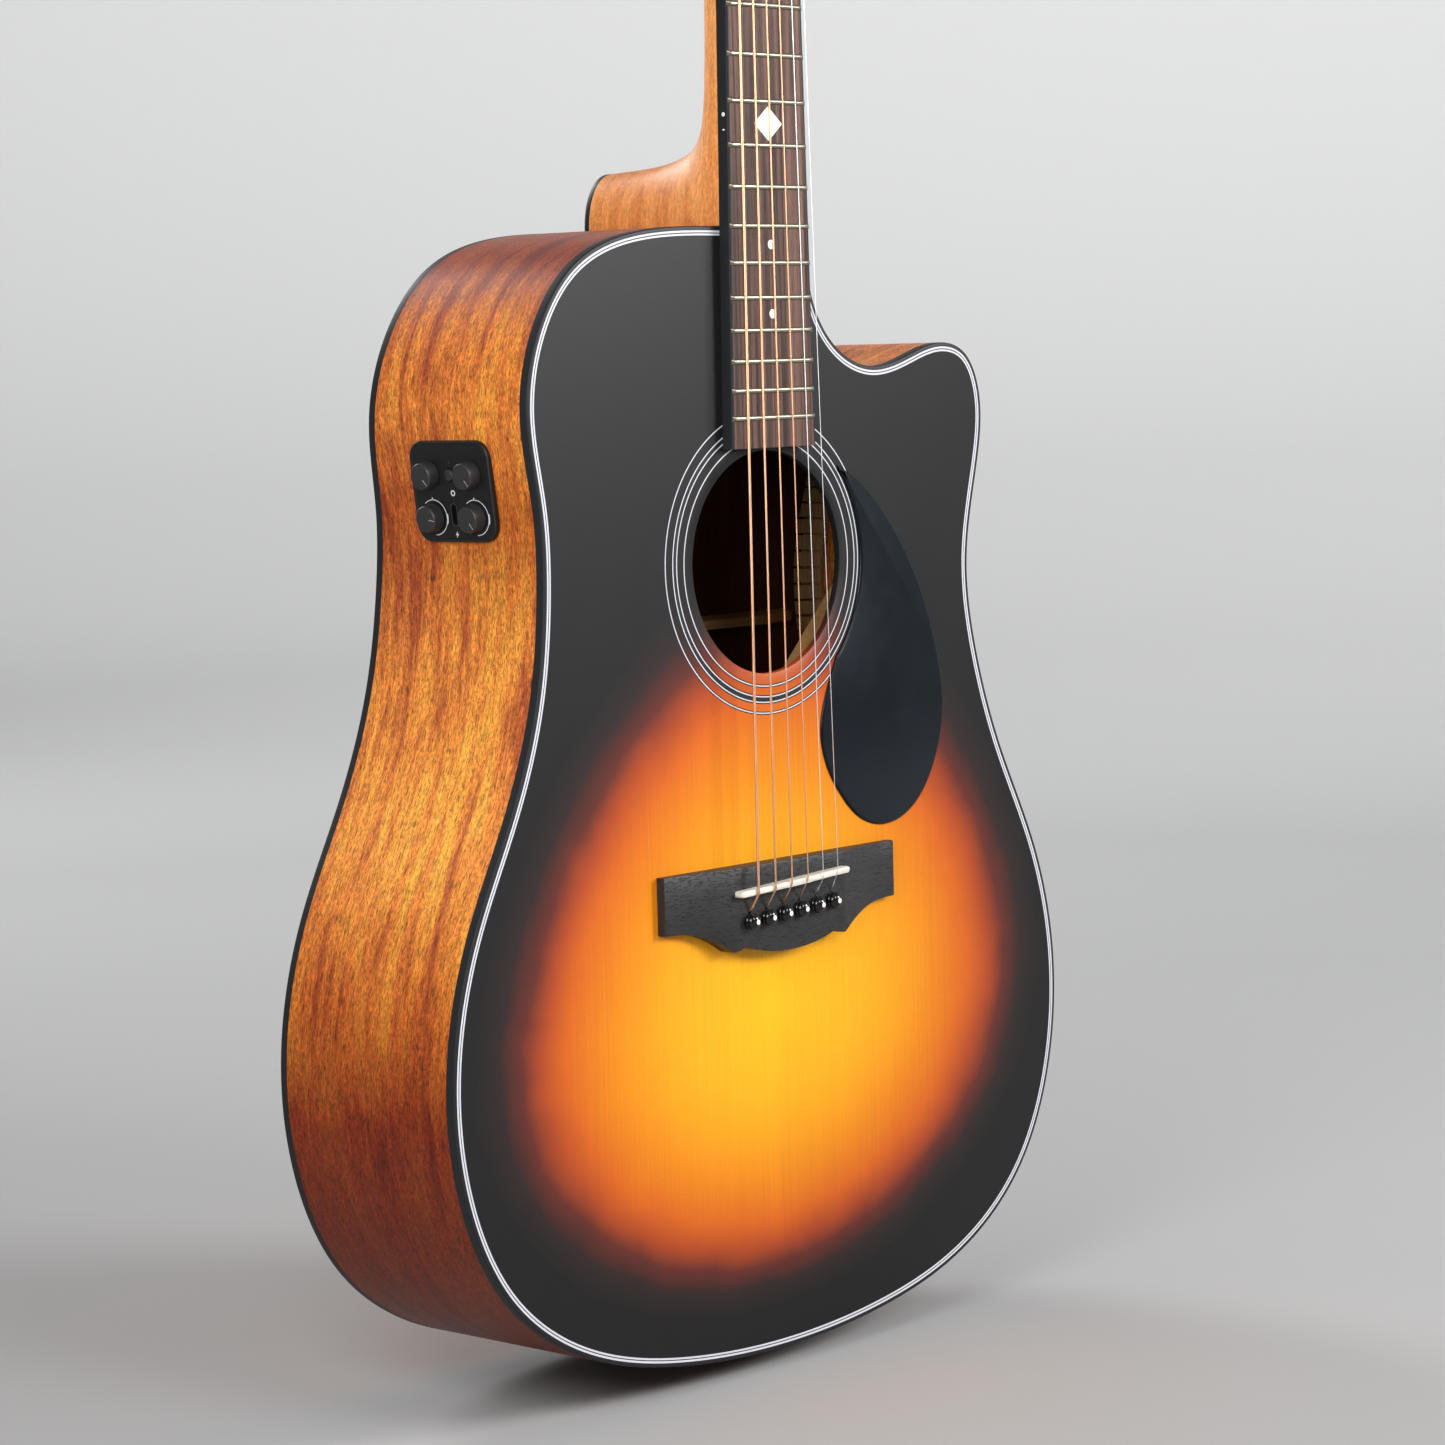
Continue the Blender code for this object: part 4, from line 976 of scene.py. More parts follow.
def neck_rows(steps=6):
    """Fine stations of the neck: flat side (y, z), rounded side (y, z), half width, squareness."""
    stations = list(HEEL_STATIONS)
    for distance, half, square in HEAD_STATIONS:
        stations.append((head_point(distance)[1:], head_point(distance, out=-HEAD_THICK)[1:], half, square))
    rows = []
    smooth = spline([(*deep, half, square) for _, deep, half, square in stations], steps)
    for number, (y, z, half, square) in enumerate(smooth):
        here = min(number // steps, len(stations) - 2)
        share = number / steps - here
        flat = np.array(stations[here][0]) * (1 - share) + np.array(stations[here + 1][0]) * share
        rows.append((tuple(flat), (y, z), half, square))
    return rows


def neck_section(flat, deep, half, square, steps=36):
    ring = []
    for step in range(steps + 1):
        turn = math.pi * step / steps
        cosine, sine = math.cos(turn), math.sin(turn)
        x = half * math.copysign(abs(cosine) ** (2 / square), cosine)
        sink = abs(sine) ** (2 / square)
        ring.append((x, flat[0] + (deep[0] - flat[0]) * sink, flat[1] + (deep[1] - flat[1]) * sink))
    return ring


def post_frames():
    """Each tuner's frame: local X points outboard and local Z out of the headstock's face."""
    frames = []
    for number in range(1, 7):
        side = -1 if number < 4 else 1
        frames.append(joint_frame(f"tuner_post_{number}_turn", (side, 0, 0)))
    return frames


def neck(finish):
    made = loft("neck_shaft", [neck_section(*row) for row in neck_rows()], finish, sharp=50)
    rod_low, rod_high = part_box("truss_rod")
    low = [part / MM - 0.3 for part in rod_low]
    high = [part / MM + 0.3 for part in rod_high]
    combine(made, block("channel", (low[0], 0, low[2]), high, finish))
    for place in post_frames():
        drill(made, BUSHING_HOLE, 40.0, -40.0, 32, finish, place)
    settle(made, "neck_mahogany", "neck")


def heel_cap(finish):
    """The plate on the heel's end, with its outer corner rounded over."""
    flat, deep, half, square = HEEL_STATIONS[0]
    rings = []
    for shrink, rise in ((0.0, 0.05), (0.0, 2.6), (0.25, 3.05), (0.7, 3.3)):
        depth = HEEL_FLOOR + rise
        rings.append(neck_section((depth, flat[1]), (depth, deep[1] - shrink), half - shrink, square))
    settle(loft("heel_cap_plate", rings, finish), "black_binding", "heel_cap")


def fretboard(wood, black, pearly):
    stations = (-0.1, BOARD_END)
    core = []
    for z in stations:
        half = board_half(z)
        xs = np.linspace(-half + EDGE_BAND, half - EDGE_BAND, 25)
        core.append([(x, -crown(x, half), z) for x in xs]
                    + [(xs[-1], BOARD_THICK - 0.05, z), (xs[0], BOARD_THICK - 0.05, z)])
    settle(loft("board_core", core, wood), "fretboard_wood", "fretboard")
    for side, name in ((-1, "bass"), (1, "treble")):
        rings = []
        for z in stations:
            half = board_half(z)
            inner = half - EDGE_BAND + HAIR
            bevel = half - 0.75
            face = [(inner, -crown(inner, half)), (bevel, -crown(bevel, half)), (half - 0.3, 0.12),
                    (half - 0.08, 0.34), (half, 0.65), (half, BOARD_THICK - 0.05),
                    (inner, BOARD_THICK - 0.05)]
            rings.append([(side * x, y, z) for x, y in face])
        settle(loft(f"board_edge_{name}", rings, black), "black_binding")
    inlays(pearly)


def inlays(pearly):
    """Plain dots, a lozenge at the 12th fret and small dots in the board's bass edge."""
    pieces = []
    for number in (3, 5, 7, 9, 15, 17):
        z = (fret_z(number) + fret_z(number - 1)) / 2
        dot = [(2.1, -2.0), (2.1, BOARD_CROWN + 0.03), (2.0, BOARD_CROWN + 0.06), (0.1, BOARD_CROWN + 0.06)]
        pieces.append(turned("dot", dot, 32, pearly, front_frame(0, 0, z)))
    z = (fret_z(12) + fret_z(11)) / 2
    corners = [(0, 7.6), (9.4, 0), (0, -7.6), (-9.4, 0)]
    lozenge = []
    for i, (x, rise) in enumerate(corners):
        after = corners[(i + 1) % 4]
        lozenge += [(x + (after[0] - x) * share, z + rise + (after[1] - rise) * share)
                    for share in (0.0, 0.25, 0.5, 0.75)]
    half = board_half(z)
    rings = [[(x, 1.5, zz) for x, zz in lozenge], [(x, -crown(x, half) - 0.05, zz) for x, zz in lozenge]]
    pieces.append(loft("lozenge", rings, pearly))
    settle(merged("board_inlays", pieces), "bone")
    sides = []
    outward = Matrix.Rotation(-math.pi / 2, 4, "Y")
    dot = [(0.95, 0.0), (0.95, 1.02), (0.85, 1.05), (0.1, 1.05)]
    for number in (3, 5, 7, 9, 12):
        z = (fret_z(number) + fret_z(number - 1)) / 2
        for shift in ((-3.6, 3.6) if number == 12 else (0.0,)):
            place = Matrix.Translation((-board_half(z) + 1.0, 2.6, z + shift)) @ outward
            sides.append(turned("dot", dot, 24, pearly, place))
    settle(merged("side_dots", sides), "bone")


def frets(finish):
    """Wires with a half-round crown, bevelled down to the board's edges."""
    for number in range(1, FRETS + 1):
        z = fret_z(number)
        half = board_half(z) - 0.1
        reach = [-half, -half + 0.45, -half + 0.9, -half + 1.4]
        xs = reach + list(np.linspace(-half + 4, half - 4, 11)) + [-x for x in reversed(reach)]
        rings = []
        for x in xs:
            rise = min(1.0, 0.12 + (half - abs(x)) * 0.75) * FRET_HEIGHT
            base = -crown(x, half) + 0.3
            ring = [(x, base, z + FRET_HALF), (x, base, z - FRET_HALF)]
            for step in range(9):
                turn = math.pi * step / 8
                ring.append((x, base - 0.3 - rise * math.sin(turn) ** 0.8, z - FRET_HALF * math.cos(turn)))
            rings.append(ring)
        settle(loft(f"fret_{number:02d}", rings, finish, sharp=50), "plain_string")


def nut(finish):
    rings = []
    for z, y in ((0.05, -1.9), (0.3, -2.5), (2.5, -2.35), (4.6, -1.2), (5.6, 0.1), (5.95, 1.2)):
        half = NUT_HALF
        ring = []
        for x in np.linspace(-half, half, 21):
            edge = max(0.0, abs(x) - half + 1.2)
            ring.append((x, y - crown(x, half) + edge ** 2 * 0.9, z))
        rings.append(ring + [(half, TOP_Y - 0.05, z), (-half, TOP_Y - 0.05, z)])
    made = loft("nut_block", rings, finish, sharp=50)
    for index in range(6):
        radius = STRING_RADII[index] + 0.06
        route = string_route(index)
        start = Vector(route[2]) + (Vector(route[1]) - Vector(route[2])).normalized() * 8
        beyond = Vector(route[2]) + (Vector(route[3]) - Vector(route[2])).normalized() * 14
        for lift in (0.0, 1.2):
            up = Vector((0, -lift, 0))
            combine(made, tube("slot", [start + up, Vector(route[2]) + up, beyond + up], radius, finish))
    settle(made, "bone", "nut")


def headstock_veneer(finish):
    low = []
    for flat, _, half, _ in neck_rows():
        distance = (Vector(flat) - Vector(HEAD_START)).length
        if flat[1] > HEAD_START[1] and 8 <= distance <= 170:
            low.append((half - 0.5, distance))
    outline = [*low, *[(-x, distance) for x, distance in reversed(low)]]
    rings = []
    for shrink, out in ((0.0, 0.05), (0.0, 1.1), (0.12, 1.35), (0.4, 1.5)):
        rings.append([head_point(distance, x * (1 - shrink / 32), out) for x, distance in outline])
    made = loft("headstock_face", rings, finish)
    for place in post_frames():
        drill(made, BUSHING_HOLE, 10.0, -10.0, 32, finish, place)
    settle(made, "headstock_black", "headstock_veneer")


# --- strings -------------------------------------------------------------------------------

def string_route(index):
    """Pin hole, saddle, nut and post: the places where a string bends."""
    share = string_share(index)
    radius = STRING_RADII[index]
    saddle_x, nut_x = share * SADDLE_SPREAD / 2, share * NUT_SPREAD / 2
    saddle_y = STRING_Y_SADDLE - SADDLE_CROWN * (1 - share * share)
    nut_y = STRING_Y_NUT - crown(nut_x, NUT_HALF)
    place = post_frames()[index]
    post = place @ Vector((-(POST_RADIUS - 0.4 + radius), 0, 5.6 + radius))
    return [(pin_x(index), bridge_face() - radius, pin_z(index) + 4.9),
            (saddle_x, saddle_y + 0.05, saddle_z(saddle_x) + COMPENSATION[index]), (nut_x, nut_y, 1.0),
            tuple(post)]


def soft_corner(before, corner, after, reach, steps=5):
    """Points that round a wire's bend, reach before and after the corner."""
    start = corner + (before - corner).normalized() * reach
    end = corner + (after - corner).normalized() * reach
    return [start.lerp(corner, share).lerp(corner.lerp(end, share), share)
            for share in (step / steps for step in range(steps + 1))]


def strings(wound_finish, plain_finish):
    for index, radius in enumerate(STRING_RADII):
        hole, crest, nut_top, post = [Vector(point) for point in string_route(index)]
        finish = wound_finish if index < 4 else plain_finish
        slot = "bronze_string" if index < 4 else "plain_string"
        deep = Vector((hole.x, bridge_face() + 6.0, hole.z - 1.7))
        route = [deep, *soft_corner(deep, hole, crest, 1.4), *soft_corner(hole, crest, nut_top, 0.9),
                 *soft_corner(crest, nut_top, post, 0.7), post]
        settle(tube(f"string_run_{index + 1}", route, radius, finish), slot, f"string_{index + 1}")
        if index > 3:
            wrap(index, hole, crest, radius, plain_finish)
        coil(index, radius, finish, slot)


def wrap(index, hole, crest, radius, finish):
    """The twisted end of a plain string, thick where it leaves the bridge."""
    along = (crest - hole).normalized()
    route = [hole + along * reach for reach in (1.0, 1.6, 3.4, 4.2)]
    radii = [radius + 0.05, radius + 0.24, radius + 0.2, radius + 0.03]
    settle(tube(f"string_wrap_{index + 1}", route, radii, finish), "plain_string")


def coil(index, radius, finish, slot):
    """The turns of a string round its post; its end goes through the post and is cut off."""
    place = post_frames()[index]
    ring = POST_RADIUS - 0.4 + radius
    pitch = 2 * radius + 0.06
    turns = max(1.5, min(4.5, 2.6 / pitch))
    steps = int(turns * 24)
    way = 1 if index < 3 else -1
    route = []
    for step in range(steps + 1):
        turn = math.pi - way * 2 * math.pi * turns * step / steps
        height = 5.6 + radius + pitch * turns * step / steps
        route.append(place @ Vector((ring * math.cos(turn), ring * math.sin(turn), height)))
    turn = math.pi - way * 2 * math.pi * turns
    height = 5.6 + radius + pitch * turns
    for reach, drop in ((0.4, 0.1), (-0.5, 0.2), (-1.6, 0.2)):
        out = ring * reach
        route.append(place @ Vector((out * math.cos(turn), out * math.sin(turn), height + drop)))
    settle(tube(f"string_coil_{index + 1}", route, radius, finish), slot, body=f"tuner_post_{index + 1}")


# --- tuners --------------------------------------------------------------------------------

def tuner(index, place, worm, chrome):
    """A die-cast housing with its bushing and nut, the post and the grip on its worm."""
    number = index + 1
    middle_y = (place.inverted() @ worm.translation).y / 2
    half_x, half_y, half_z = (side / 2 for side in CASE_SIZE)
    rings = []
    for share, shrink in ((-1, 4.6), (-0.97, 2.8), (-0.88, 1.2), (-0.72, 0.35), (-0.5, 0.0), (0.86, 0.0),
                          (0.96, 0.15), (1, 0.5)):
        outline = rounded(half_x - shrink, half_y - shrink, max(1.0, 4.4 - shrink * 0.5), 7)
        rings.append([(x, y + middle_y, CASE_DROP + share * half_z) for x, y in outline])
    case = loft(f"tuner_case_{number}", rings, chrome, place)
    face = VENEER_THICK + 0.4
    bushing = [(5.0, CASE_DROP), (5.0, face), (7.0, face), (7.2, face + 0.25), (7.0, face + 0.6),
               (5.9, face + 0.7)]
    combine(case, turned("washer", bushing, 48, chrome, place), "UNION")
    hexagon = []
    for height, radius in ((face + 0.5, 5.9), (face + 2.2, 5.9), (face + 2.7, 5.3)):
        hexagon.append([(radius * math.cos(math.radians(a)), radius * math.sin(math.radians(a)), height)
                        for a in range(0, 360, 60)])
    combine(case, loft("hexagon", hexagon, chrome, place), "UNION")
    collar = [(3.6, half_x - 3.0), (3.6, half_x + 1.4), (3.3, half_x + 2.2), (2.9, half_x + 2.5)]
    combine(case, turned("collar", collar, 32, chrome, worm), "UNION")
    inner = [half_x - 1.4, half_y - 1.4, half_z - 1.4]
    low = (-inner[0], middle_y - inner[1], CASE_DROP - inner[2])
    combine(case, block("cavity", low, (inner[0], middle_y + inner[1], CASE_DROP + inner[2]), chrome, place))
    drill(case, POST_RADIUS + 0.25, CASE_DROP, 30, 32, chrome, place)
    drill(case, 2.2, 4.0, 20.0, 24, chrome, worm)
    settle(case, "tuner_metal", f"tuner_housing_{number}")

    spindle = [(5.0, CASE_DROP - 2), (5.0, CASE_DROP + 2), (POST_RADIUS, CASE_DROP + 2),
               (POST_RADIUS, 5.0), (2.75, 5.5), (2.6, 6.2), (2.6, 7.6), (2.75, 8.4),
               (POST_RADIUS, 9.0), (POST_RADIUS, 12.2), (2.8, 12.7), (2.3, 13.0)]
    post = turned(f"tuner_spindle_{number}", spindle, 40, chrome, place)
    across = place @ Matrix.Translation((0, 0, 8.6)) @ Matrix.Rotation(math.pi / 2, 4, "Y")
    drill(post, 0.75, -6, 6, 20, chrome, across)
    settle(post, "tuner_metal", f"tuner_post_{number}", body=f"tuner_post_{number}")

    shaft = [(WORM_RADIUS, -7), (WORM_RADIUS, 6.6), (2.0, 6.6), (2.0, BUTTON_X - 3)]
    grip = turned(f"tuner_grip_{number}", shaft, 24, chrome, worm)
    rings = []
    for share, scale in ((-0.5, 0.42), (-0.46, 0.5), (-0.36, 0.66), (-0.18, 0.88), (0.05, 0.99), (0.25, 1.0),
                         (0.4, 0.94), (0.48, 0.82), (0.5, 0.7)):
        outline = rounded(6.0 * scale, 8.5 * scale, 4.9 * scale, 8)
        rings.append([(x, y, BUTTON_X + share * 8.0) for x, y in outline])
    combine(grip, loft("grip", rings, chrome, worm, sharp=50), "UNION")
    settle(grip, "tuner_grip", f"tuner_button_{number}", body=f"tuner_button_{number}")


def tuners(chrome):
    for index, place in enumerate(post_frames()):
        tuner(index, place, joint_frame(f"tuner_button_{index + 1}_turn", (0, 0, 1)), chrome)


# --- electrics -----------------------------------------------------------------------------

def preamp_panel(base, black, grey, print_white):
    half_x, half_y = PANEL_SIZE[0] / 2, PANEL_SIZE[1] / 2
    rings = []
    for shrink, height in ((0.0, 0.05), (0.0, PANEL_FACE - 0.7), (0.2, PANEL_FACE - 0.3),
                           (0.55, PANEL_FACE - 0.06), (0.9, PANEL_FACE), (1.5, PANEL_FACE),
                           (1.7, PANEL_FACE - 0.2)):
        outline = rounded(half_x - shrink, half_y - shrink, PANEL_CORNER - shrink, 12)
        rings.append([(x, y, height) for x, y in outline])
    made = loft("preamp_plate", rings, black, base)
    x, y, depth = PREAMP_BOX
    combine(made, block("box", (-x / 2, -y / 2, -depth), (x / 2, y / 2, 1.0), black, base), "UNION")
    for knob_x, knob_y in knob_places():
        drill(made, 2.8, -6.0, 9.0, 32, black, place_on(base, knob_x, knob_y))
    drill(made, 2.9, -5.0, 9.0, 32, black, place_on(base, 0, POWER_Y))
    port = [[(px, py + PORT_Y, height) for px, py in rounded(1.5, 4.6, 1.45, 8)] for height in (-6.0, 9.0)]
    combine(made, loft("port", port, black, base))
    settle(made, "preamp_black", "preamp_panel")
    lip = []
    for grow, height in ((0.1, 1.7), (0.1, PANEL_FACE + 0.15), (0.7, PANEL_FACE + 0.15), (0.75, 1.7)):
        lip.append([(px, py + PORT_Y, height) for px, py in rounded(1.4 + grow, 4.5 + grow, 1.35 + grow, 8)])
    # The port's raised lip is a real rim; its lighter grey plastic paints the highlight along its edge.
    settle(loft("preamp_port_lip", lip, grey, base, closed=True), "preamp_black")
    panel_print(base, print_white)


def knob_places():
    return [(x, y) for y in KNOB_YS for x in (-KNOB_X, KNOB_X)]


def sheet_piece(points, base, finish):
    """A thin printed shape standing a hair above the panel."""
    face = PANEL_FACE - 0.2
    return loft("print", [[(x, y, face - 0.05) for x, y in points], [(x, y, face + 0.05) for x, y in points]],
                finish, base)


def panel_print(base, finish):
    """Plain arcs round the lower knobs, a ring for the button and a charging sign for the port."""
    pieces = []
    for x in (-KNOB_X, KNOB_X):
        y = KNOB_YS[1]
        inner, outer = [], []
        for step in range(49):
            turn = math.radians(128 - 220 * step / 48)
            wide = 0.34 + (0.5 if 26 <= step <= 32 else 0.0)
            inner.append((x + 7.5 * math.cos(turn), y + 7.5 * math.sin(turn)))
            outer.append((x + (7.5 + wide) * math.cos(turn), y + (7.5 + wide) * math.sin(turn)))
        pieces.append(sheet_piece(inner + outer[::-1], base, finish))
        tick = [(x - 0.25, y + 7.7), (x + 0.25, y + 7.7), (x + 0.25, y + 8.7), (x - 0.25, y + 8.7)]
        pieces.append(sheet_piece(tick, base, finish))
    ring = [(0.75, 2.05), (1.3, 2.05), (1.3, 2.15), (0.75, 2.15)]
    pieces.append(turned("print", ring, 32, finish, place_on(base, 0.4, -0.6), closed=True))
    bolt = [(0.35, 1.5), (-0.95, -0.25), (-0.15, -0.25), (-0.45, -1.6), (0.95, 0.3), (0.15, 0.3)]
    pieces.append(sheet_piece([(x, y - 18.6) for x, y in bolt], base, finish))
    settle(merged("preamp_print", pieces), "preamp_black")


def knobs(base, black, grey):
    low = PANEL_FACE + 0.25
    high = low + KNOB_HEIGHT
    profile = [(2.5, -5.0), (2.5, low), (KNOB_RADIUS + 0.25, low), (KNOB_RADIUS + 0.2, low + 0.8),
               (KNOB_RADIUS, high - 0.75), (KNOB_RADIUS - 0.15, high - 0.3), (KNOB_RADIUS - 0.5, high),
               (KNOB_RADIUS - 0.9, high - 0.05), (2.0, high - 0.25), (0.2, high - 0.3)]
    aims = (-48, -52, -8, -52)
    for number, ((x, y), aim) in enumerate(zip(knob_places(), aims), 1):
        place = place_on(base, x, y)
        made = turned(f"knob_cap_{number}", profile, 64, black, place)
        mark = place @ Matrix.Rotation(math.radians(aim), 4, "Z")
        groove = (1.9, -0.22, high - 0.55), (KNOB_RADIUS + 1, 0.22, high + 1)
        combine(made, block("mark", *groove, black, mark))
        settle(made, "knob_black", f"preamp_knob_{number}", body=f"preamp_knob_{number}")
        line = (2.0, -0.16, high - 0.5), (KNOB_RADIUS - 0.5, 0.16, high - 0.12)
        settle(block(f"knob_mark_{number}", *line, grey, mark), "preamp_black", body=f"preamp_knob_{number}")


def power_button(base, finish):
    high = PANEL_FACE + 1.4
    profile = [(2.55, -3.4), (2.55, high - 0.7), (2.45, high - 0.35), (2.1, high - 0.1), (1.2, high + 0.02),
               (0.1, high + 0.05)]
    made = turned("power_cap", profile, 40, finish, place_on(base, 0, POWER_Y))
    settle(made, "knob_black", "preamp_power_button", body="preamp_power_button")
    lamp = [(0.5, 1.7), (0.5, PANEL_FACE - 0.05), (0.3, PANEL_FACE + 0.1), (0.05, PANEL_FACE + 0.15)]
    settle(turned("preamp_lamp", lamp, 20, finish, place_on(base, 0, POWER_Y + 5.2)), "knob_black")


def endpin_frame():
    low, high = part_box("endpin_jack")
    middle = (low + high) / 2 / MM
    return Matrix.Translation((0, middle.y, TAIL[1])) @ Matrix.Rotation(math.pi, 4, "X")


def endpin(chrome):
    """A strap button whose stem is the socket's sleeve, through the tail block."""
    profile = [(3.3, 11.7), (3.6, 12.0), (8.2, 12.0), (9.1, 11.7), (9.5, 11.0), (9.5, 9.6), (9.2, 8.9),
               (7.4, 7.6), (6.6, 6.6), (6.5, 4.0), (7.2, 2.4), (8.8, 1.5), (9.0, 0.9), (8.8, 0.1),
               (5.95, 0.1), (5.95, -29.0), (3.3, -29.0)]
    made = turned("strap_button", profile, 56, chrome, endpin_frame(), closed=True)
    settle(made, "tuner_metal", "endpin_jack")


# --- carried-over pieces, stage, light and camera ------------------------------------------

def dress(node, finish):
    """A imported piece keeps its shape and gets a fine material."""
    data = frame["nodes"][node].data
    data.materials.clear()
    data.materials.append(finish)


def studio(finish):
    """A wide bowl: a flat floor that curves up into a wall on all sides."""
    profile = [(0.05, FLOOR_Z)] + [(0.6 * k, FLOOR_Z) for k in range(1, 9)]
    for step in range(1, 13):
        turn = math.pi / 2 * step / 12
        profile.append((FLOOR_RADIUS + WALL_CURVE * math.sin(turn),
                        FLOOR_Z + WALL_CURVE * (1 - math.cos(turn))))
    profile.append((FLOOR_RADIUS + WALL_CURVE, WALL_TOP))
    rings = []
    for radius, height in profile:
        rings.append([(radius * math.cos(math.radians(a)), radius * math.sin(math.radians(a)), height)
                      for a in range(0, 360, 4)])
    mesh = bpy.data.meshes.new("studio_bowl")
    count = len(rings[0])
    verts = [point for ring in rings for point in ring]
    faces = [tuple(range(count))]
    for i in range(len(rings) - 1):
        for j in range(count):
            k = (j + 1) % count
            faces.append((i * count + k, i * count + j, (i + 1) * count + j, (i + 1) * count + k))
    mesh.from_pydata(verts, [], faces)
    mesh.shade_smooth()
    mesh.materials.append(finish)
    bowl = bpy.data.objects.new("studio_bowl", mesh)
    bpy.context.scene.collection.objects.link(bowl)


def area_light(name, place, target, size, power):
    data = bpy.data.lights.new(name, "AREA")
    data.shape = "DISK"
    data.size = size
    data.energy = power
    lamp = bpy.data.objects.new(name, data)
    bpy.context.scene.collection.objects.link(lamp)
    lamp.location = place
    lamp.visible_camera = False
    lamp.rotation_euler = (Vector(target) - Vector(place)).to_track_quat("-Z", "Y").to_euler()


def lights():
    world = bpy.data.worlds.new("studio_world")
    world.use_nodes = True
    world.node_tree.nodes["Background"].inputs["Color"].default_value = (0.9, 0.92, 0.95, 1)
    world.node_tree.nodes["Background"].inputs["Strength"].default_value = 0.3
    bpy.context.scene.world = world
    area_light("key", (1.2, -1.5, 0.1), (0, 0, -0.6), 0.8, 38)
    area_light("front", (-0.3, -2.3, 0.9), (0, 0, -0.6), 1.0, 22)
    area_light("side", (-0.8, -0.3, -0.3), (-0.15, 0.06, -0.5), 0.5, 5.5)
    area_light("rear", (0.3, 2.6, 0.9), (0, 0.1, -0.5), 1.2, 40)
    area_light("backdrop", (1.8, 0.3, 2.6), (4.8, 3.8, 0.9), 2.0, 185)


def camera():
    data = bpy.data.cameras.new("camera")
    data.lens = CAMERA_LENS
    data.sensor_width = 36.0
    made = bpy.data.objects.new("camera", data)
    bpy.context.scene.collection.objects.link(made)
    turn = (Matrix.Rotation(-math.radians(CAMERA_YAW), 4, "Z")
            @ Matrix.Rotation(math.radians(90 - CAMERA_PITCH), 4, "X")
            @ Matrix.Rotation(math.radians(CAMERA_ROLL), 4, "Z"))
    made.matrix_world = Matrix.Translation(CAMERA_PLACE) @ turn
    bpy.context.scene.camera = made


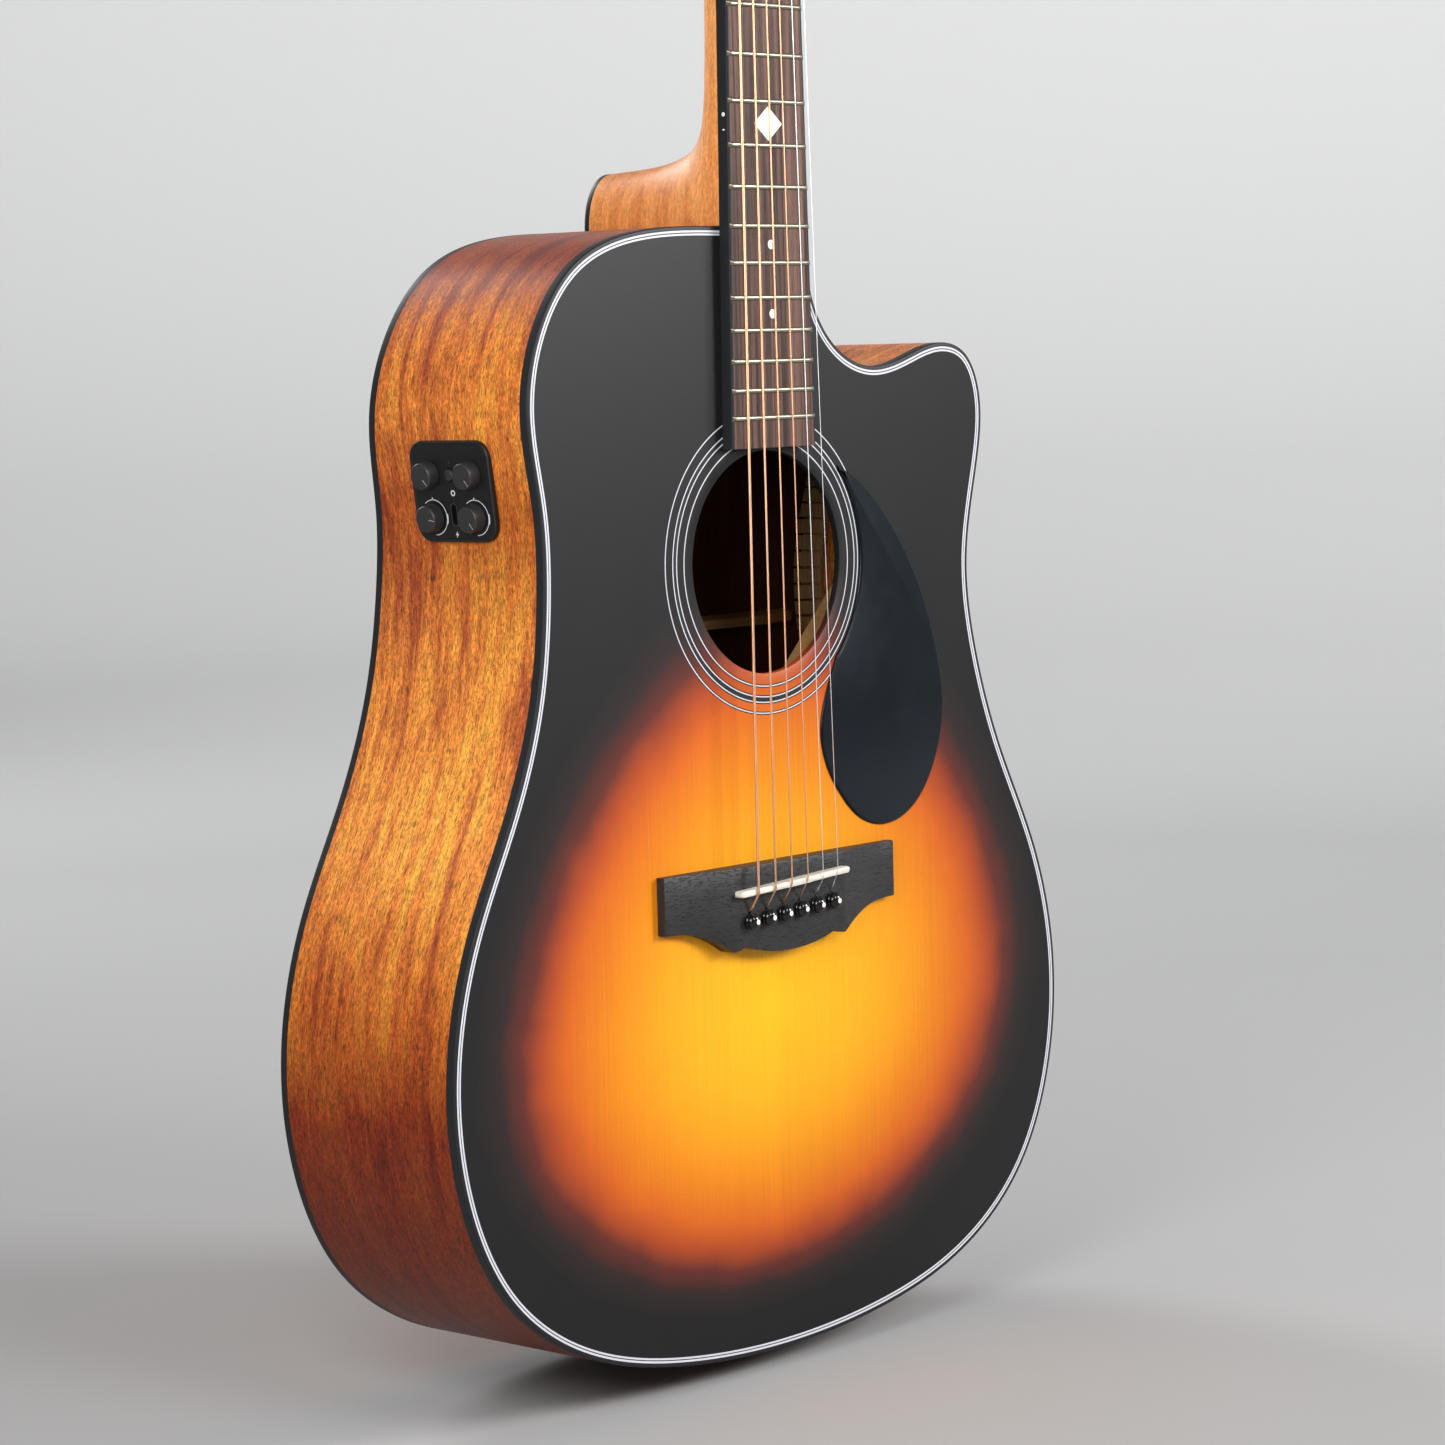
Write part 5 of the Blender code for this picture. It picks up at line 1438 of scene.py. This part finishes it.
def build():
    black = plastic("binding_black", shade(32, 33, 35), 0.45, specular=0.22)
    line_white = plastic("line_white", shade(206, 206, 212), 0.4, wear=0.05, specular=0.3)
    rib_wood = mahogany("rib_mahogany", shade(255, 182, 74), shade(242, 148, 66), shade(184, 92, 50),
                        0.12, 1.0, along_rib=True)
    back_wood = mahogany("back_mahogany", shade(232, 150, 74), shade(204, 120, 60), shade(166, 86, 48),
                         0.02, 0.8, book=True)
    neck_wood = mahogany("neck_mahogany", shade(248, 168, 94), shade(240, 154, 82), shade(220, 134, 70),
                         0.02, 0.5)
    spruce = plain_wood("inner_spruce", shade(170, 132, 84), shade(136, 98, 58))
    cross_spruce = plain_wood("cross_spruce", shade(168, 130, 82), shade(134, 96, 56), (0.01, 1, 1))
    # Painted shade: the back's inside is darkened to stand in for the dark inside of the body.
    inside_shade = plain_wood("inside_mahogany_painted_shade", shade(84, 46, 30), shade(58, 30, 20))
    maple = plain_wood("plate_wood", shade(196, 150, 100), shade(156, 108, 66), (0.02, 1, 1))
    bridge_black = ebony("bridge_ebony", shade(42, 42, 43), (0.16, 1, 1))
    veneer_black = ebony("headstock_ebony", shade(36, 36, 38), (1, 1, 0.12), 0.34)
    gloss = plastic("pin_gloss", shade(14, 14, 15), 0.1, texture=0.001)
    guard = plastic("guard_plastic", shade(11, 18, 25), 0.24, texture=0.006, wear=0.25, specular=0.22)
    panel = plastic("panel_plastic", shade(20, 20, 21), 0.45, texture=0.02, size=0.35, specular=0.35)
    knob = plastic("knob_plastic", shade(40, 40, 41), 0.4, texture=0.012, size=0.3)
    mark_grey = plastic("mark_grey", shade(150, 150, 152), 0.5)
    ivory, pearly = bone(), pearl()
    chrome = metal("chrome", shade(200, 202, 206), 0.12)
    nickel = metal("nickel", shade(150, 145, 128), 0.32, (0.1, 1, 1), 0.4)
    rod = metal("rod_steel", shade(120, 120, 124), 0.4, (1, 1, 0.05))
    plain = metal("plain_steel", shade(240, 238, 236), 0.36, (1, 1, 0.02), 0.3)
    bronze = wound("wound_bronze", shade(252, 196, 156), 0.46)

    outline = body_outline()
    top = top_plate(outline, sunburst())
    drill_plate(top, black)
    settle(top, "sunburst_top", "soundboard")
    bindings(outline, black, line_white)
    rosette(line_white, black)
    pickguard(guard)
    treble, bass = ribs(outline, rib_wood)
    base = preamp_frame()
    x, y = PREAMP_BOX[0] / 2 + 0.2, PREAMP_BOX[1] / 2 + 0.2
    combine(bass, block("hole", (-x, -y, -30), (x, y, 30), rib_wood, base))
    for side in (treble, bass):
        drill(side, 6.1, 20, -60, 40, rib_wood, endpin_frame())
    settle(treble, "side_mahogany", "side_treble")
    settle(bass, "side_mahogany", "side_bass")
    settle(back_dome(outline, back_wood, inside_shade), "back_mahogany", "back_plate")
    front_lining = kerfed("lining_front", outline, lambda x, z: TOP_Y + TOP_THICK, 1, spruce)
    settle(front_lining, "inner_wood", "kerfed_lining_front")
    back_lining = kerfed("lining_back", outline, lambda x, z: back_y(x, z) - BACK_THICK, -1, spruce)
    settle(back_lining, "inner_wood", "kerfed_lining_back")

    bridge(bridge_black)
    saddle(ivory)
    bridge_pins(gloss, pearly)
    neck(neck_wood)
    heel_cap(black)
    fretboard(rosewood(), black, pearly)
    frets(nickel)
    nut(ivory)
    headstock_veneer(veneer_black)
    strings(bronze, plain)
    tuners(chrome)
    preamp_panel(base, panel, knob, line_white)
    knobs(base, knob, mark_grey)
    power_button(base, knob)
    endpin(chrome)
    for node, finish in (("neck_block", maple), ("tail_block", cross_spruce), ("top_bracing", cross_spruce),
                         ("back_bracing", cross_spruce), ("bridge_plate", maple), ("truss_rod", rod)):
        dress(node, finish)
    studio(studio_grey_painted_shade())
    lights()
    camera()


build()
bpy.context.scene.view_settings.view_transform = "Standard"
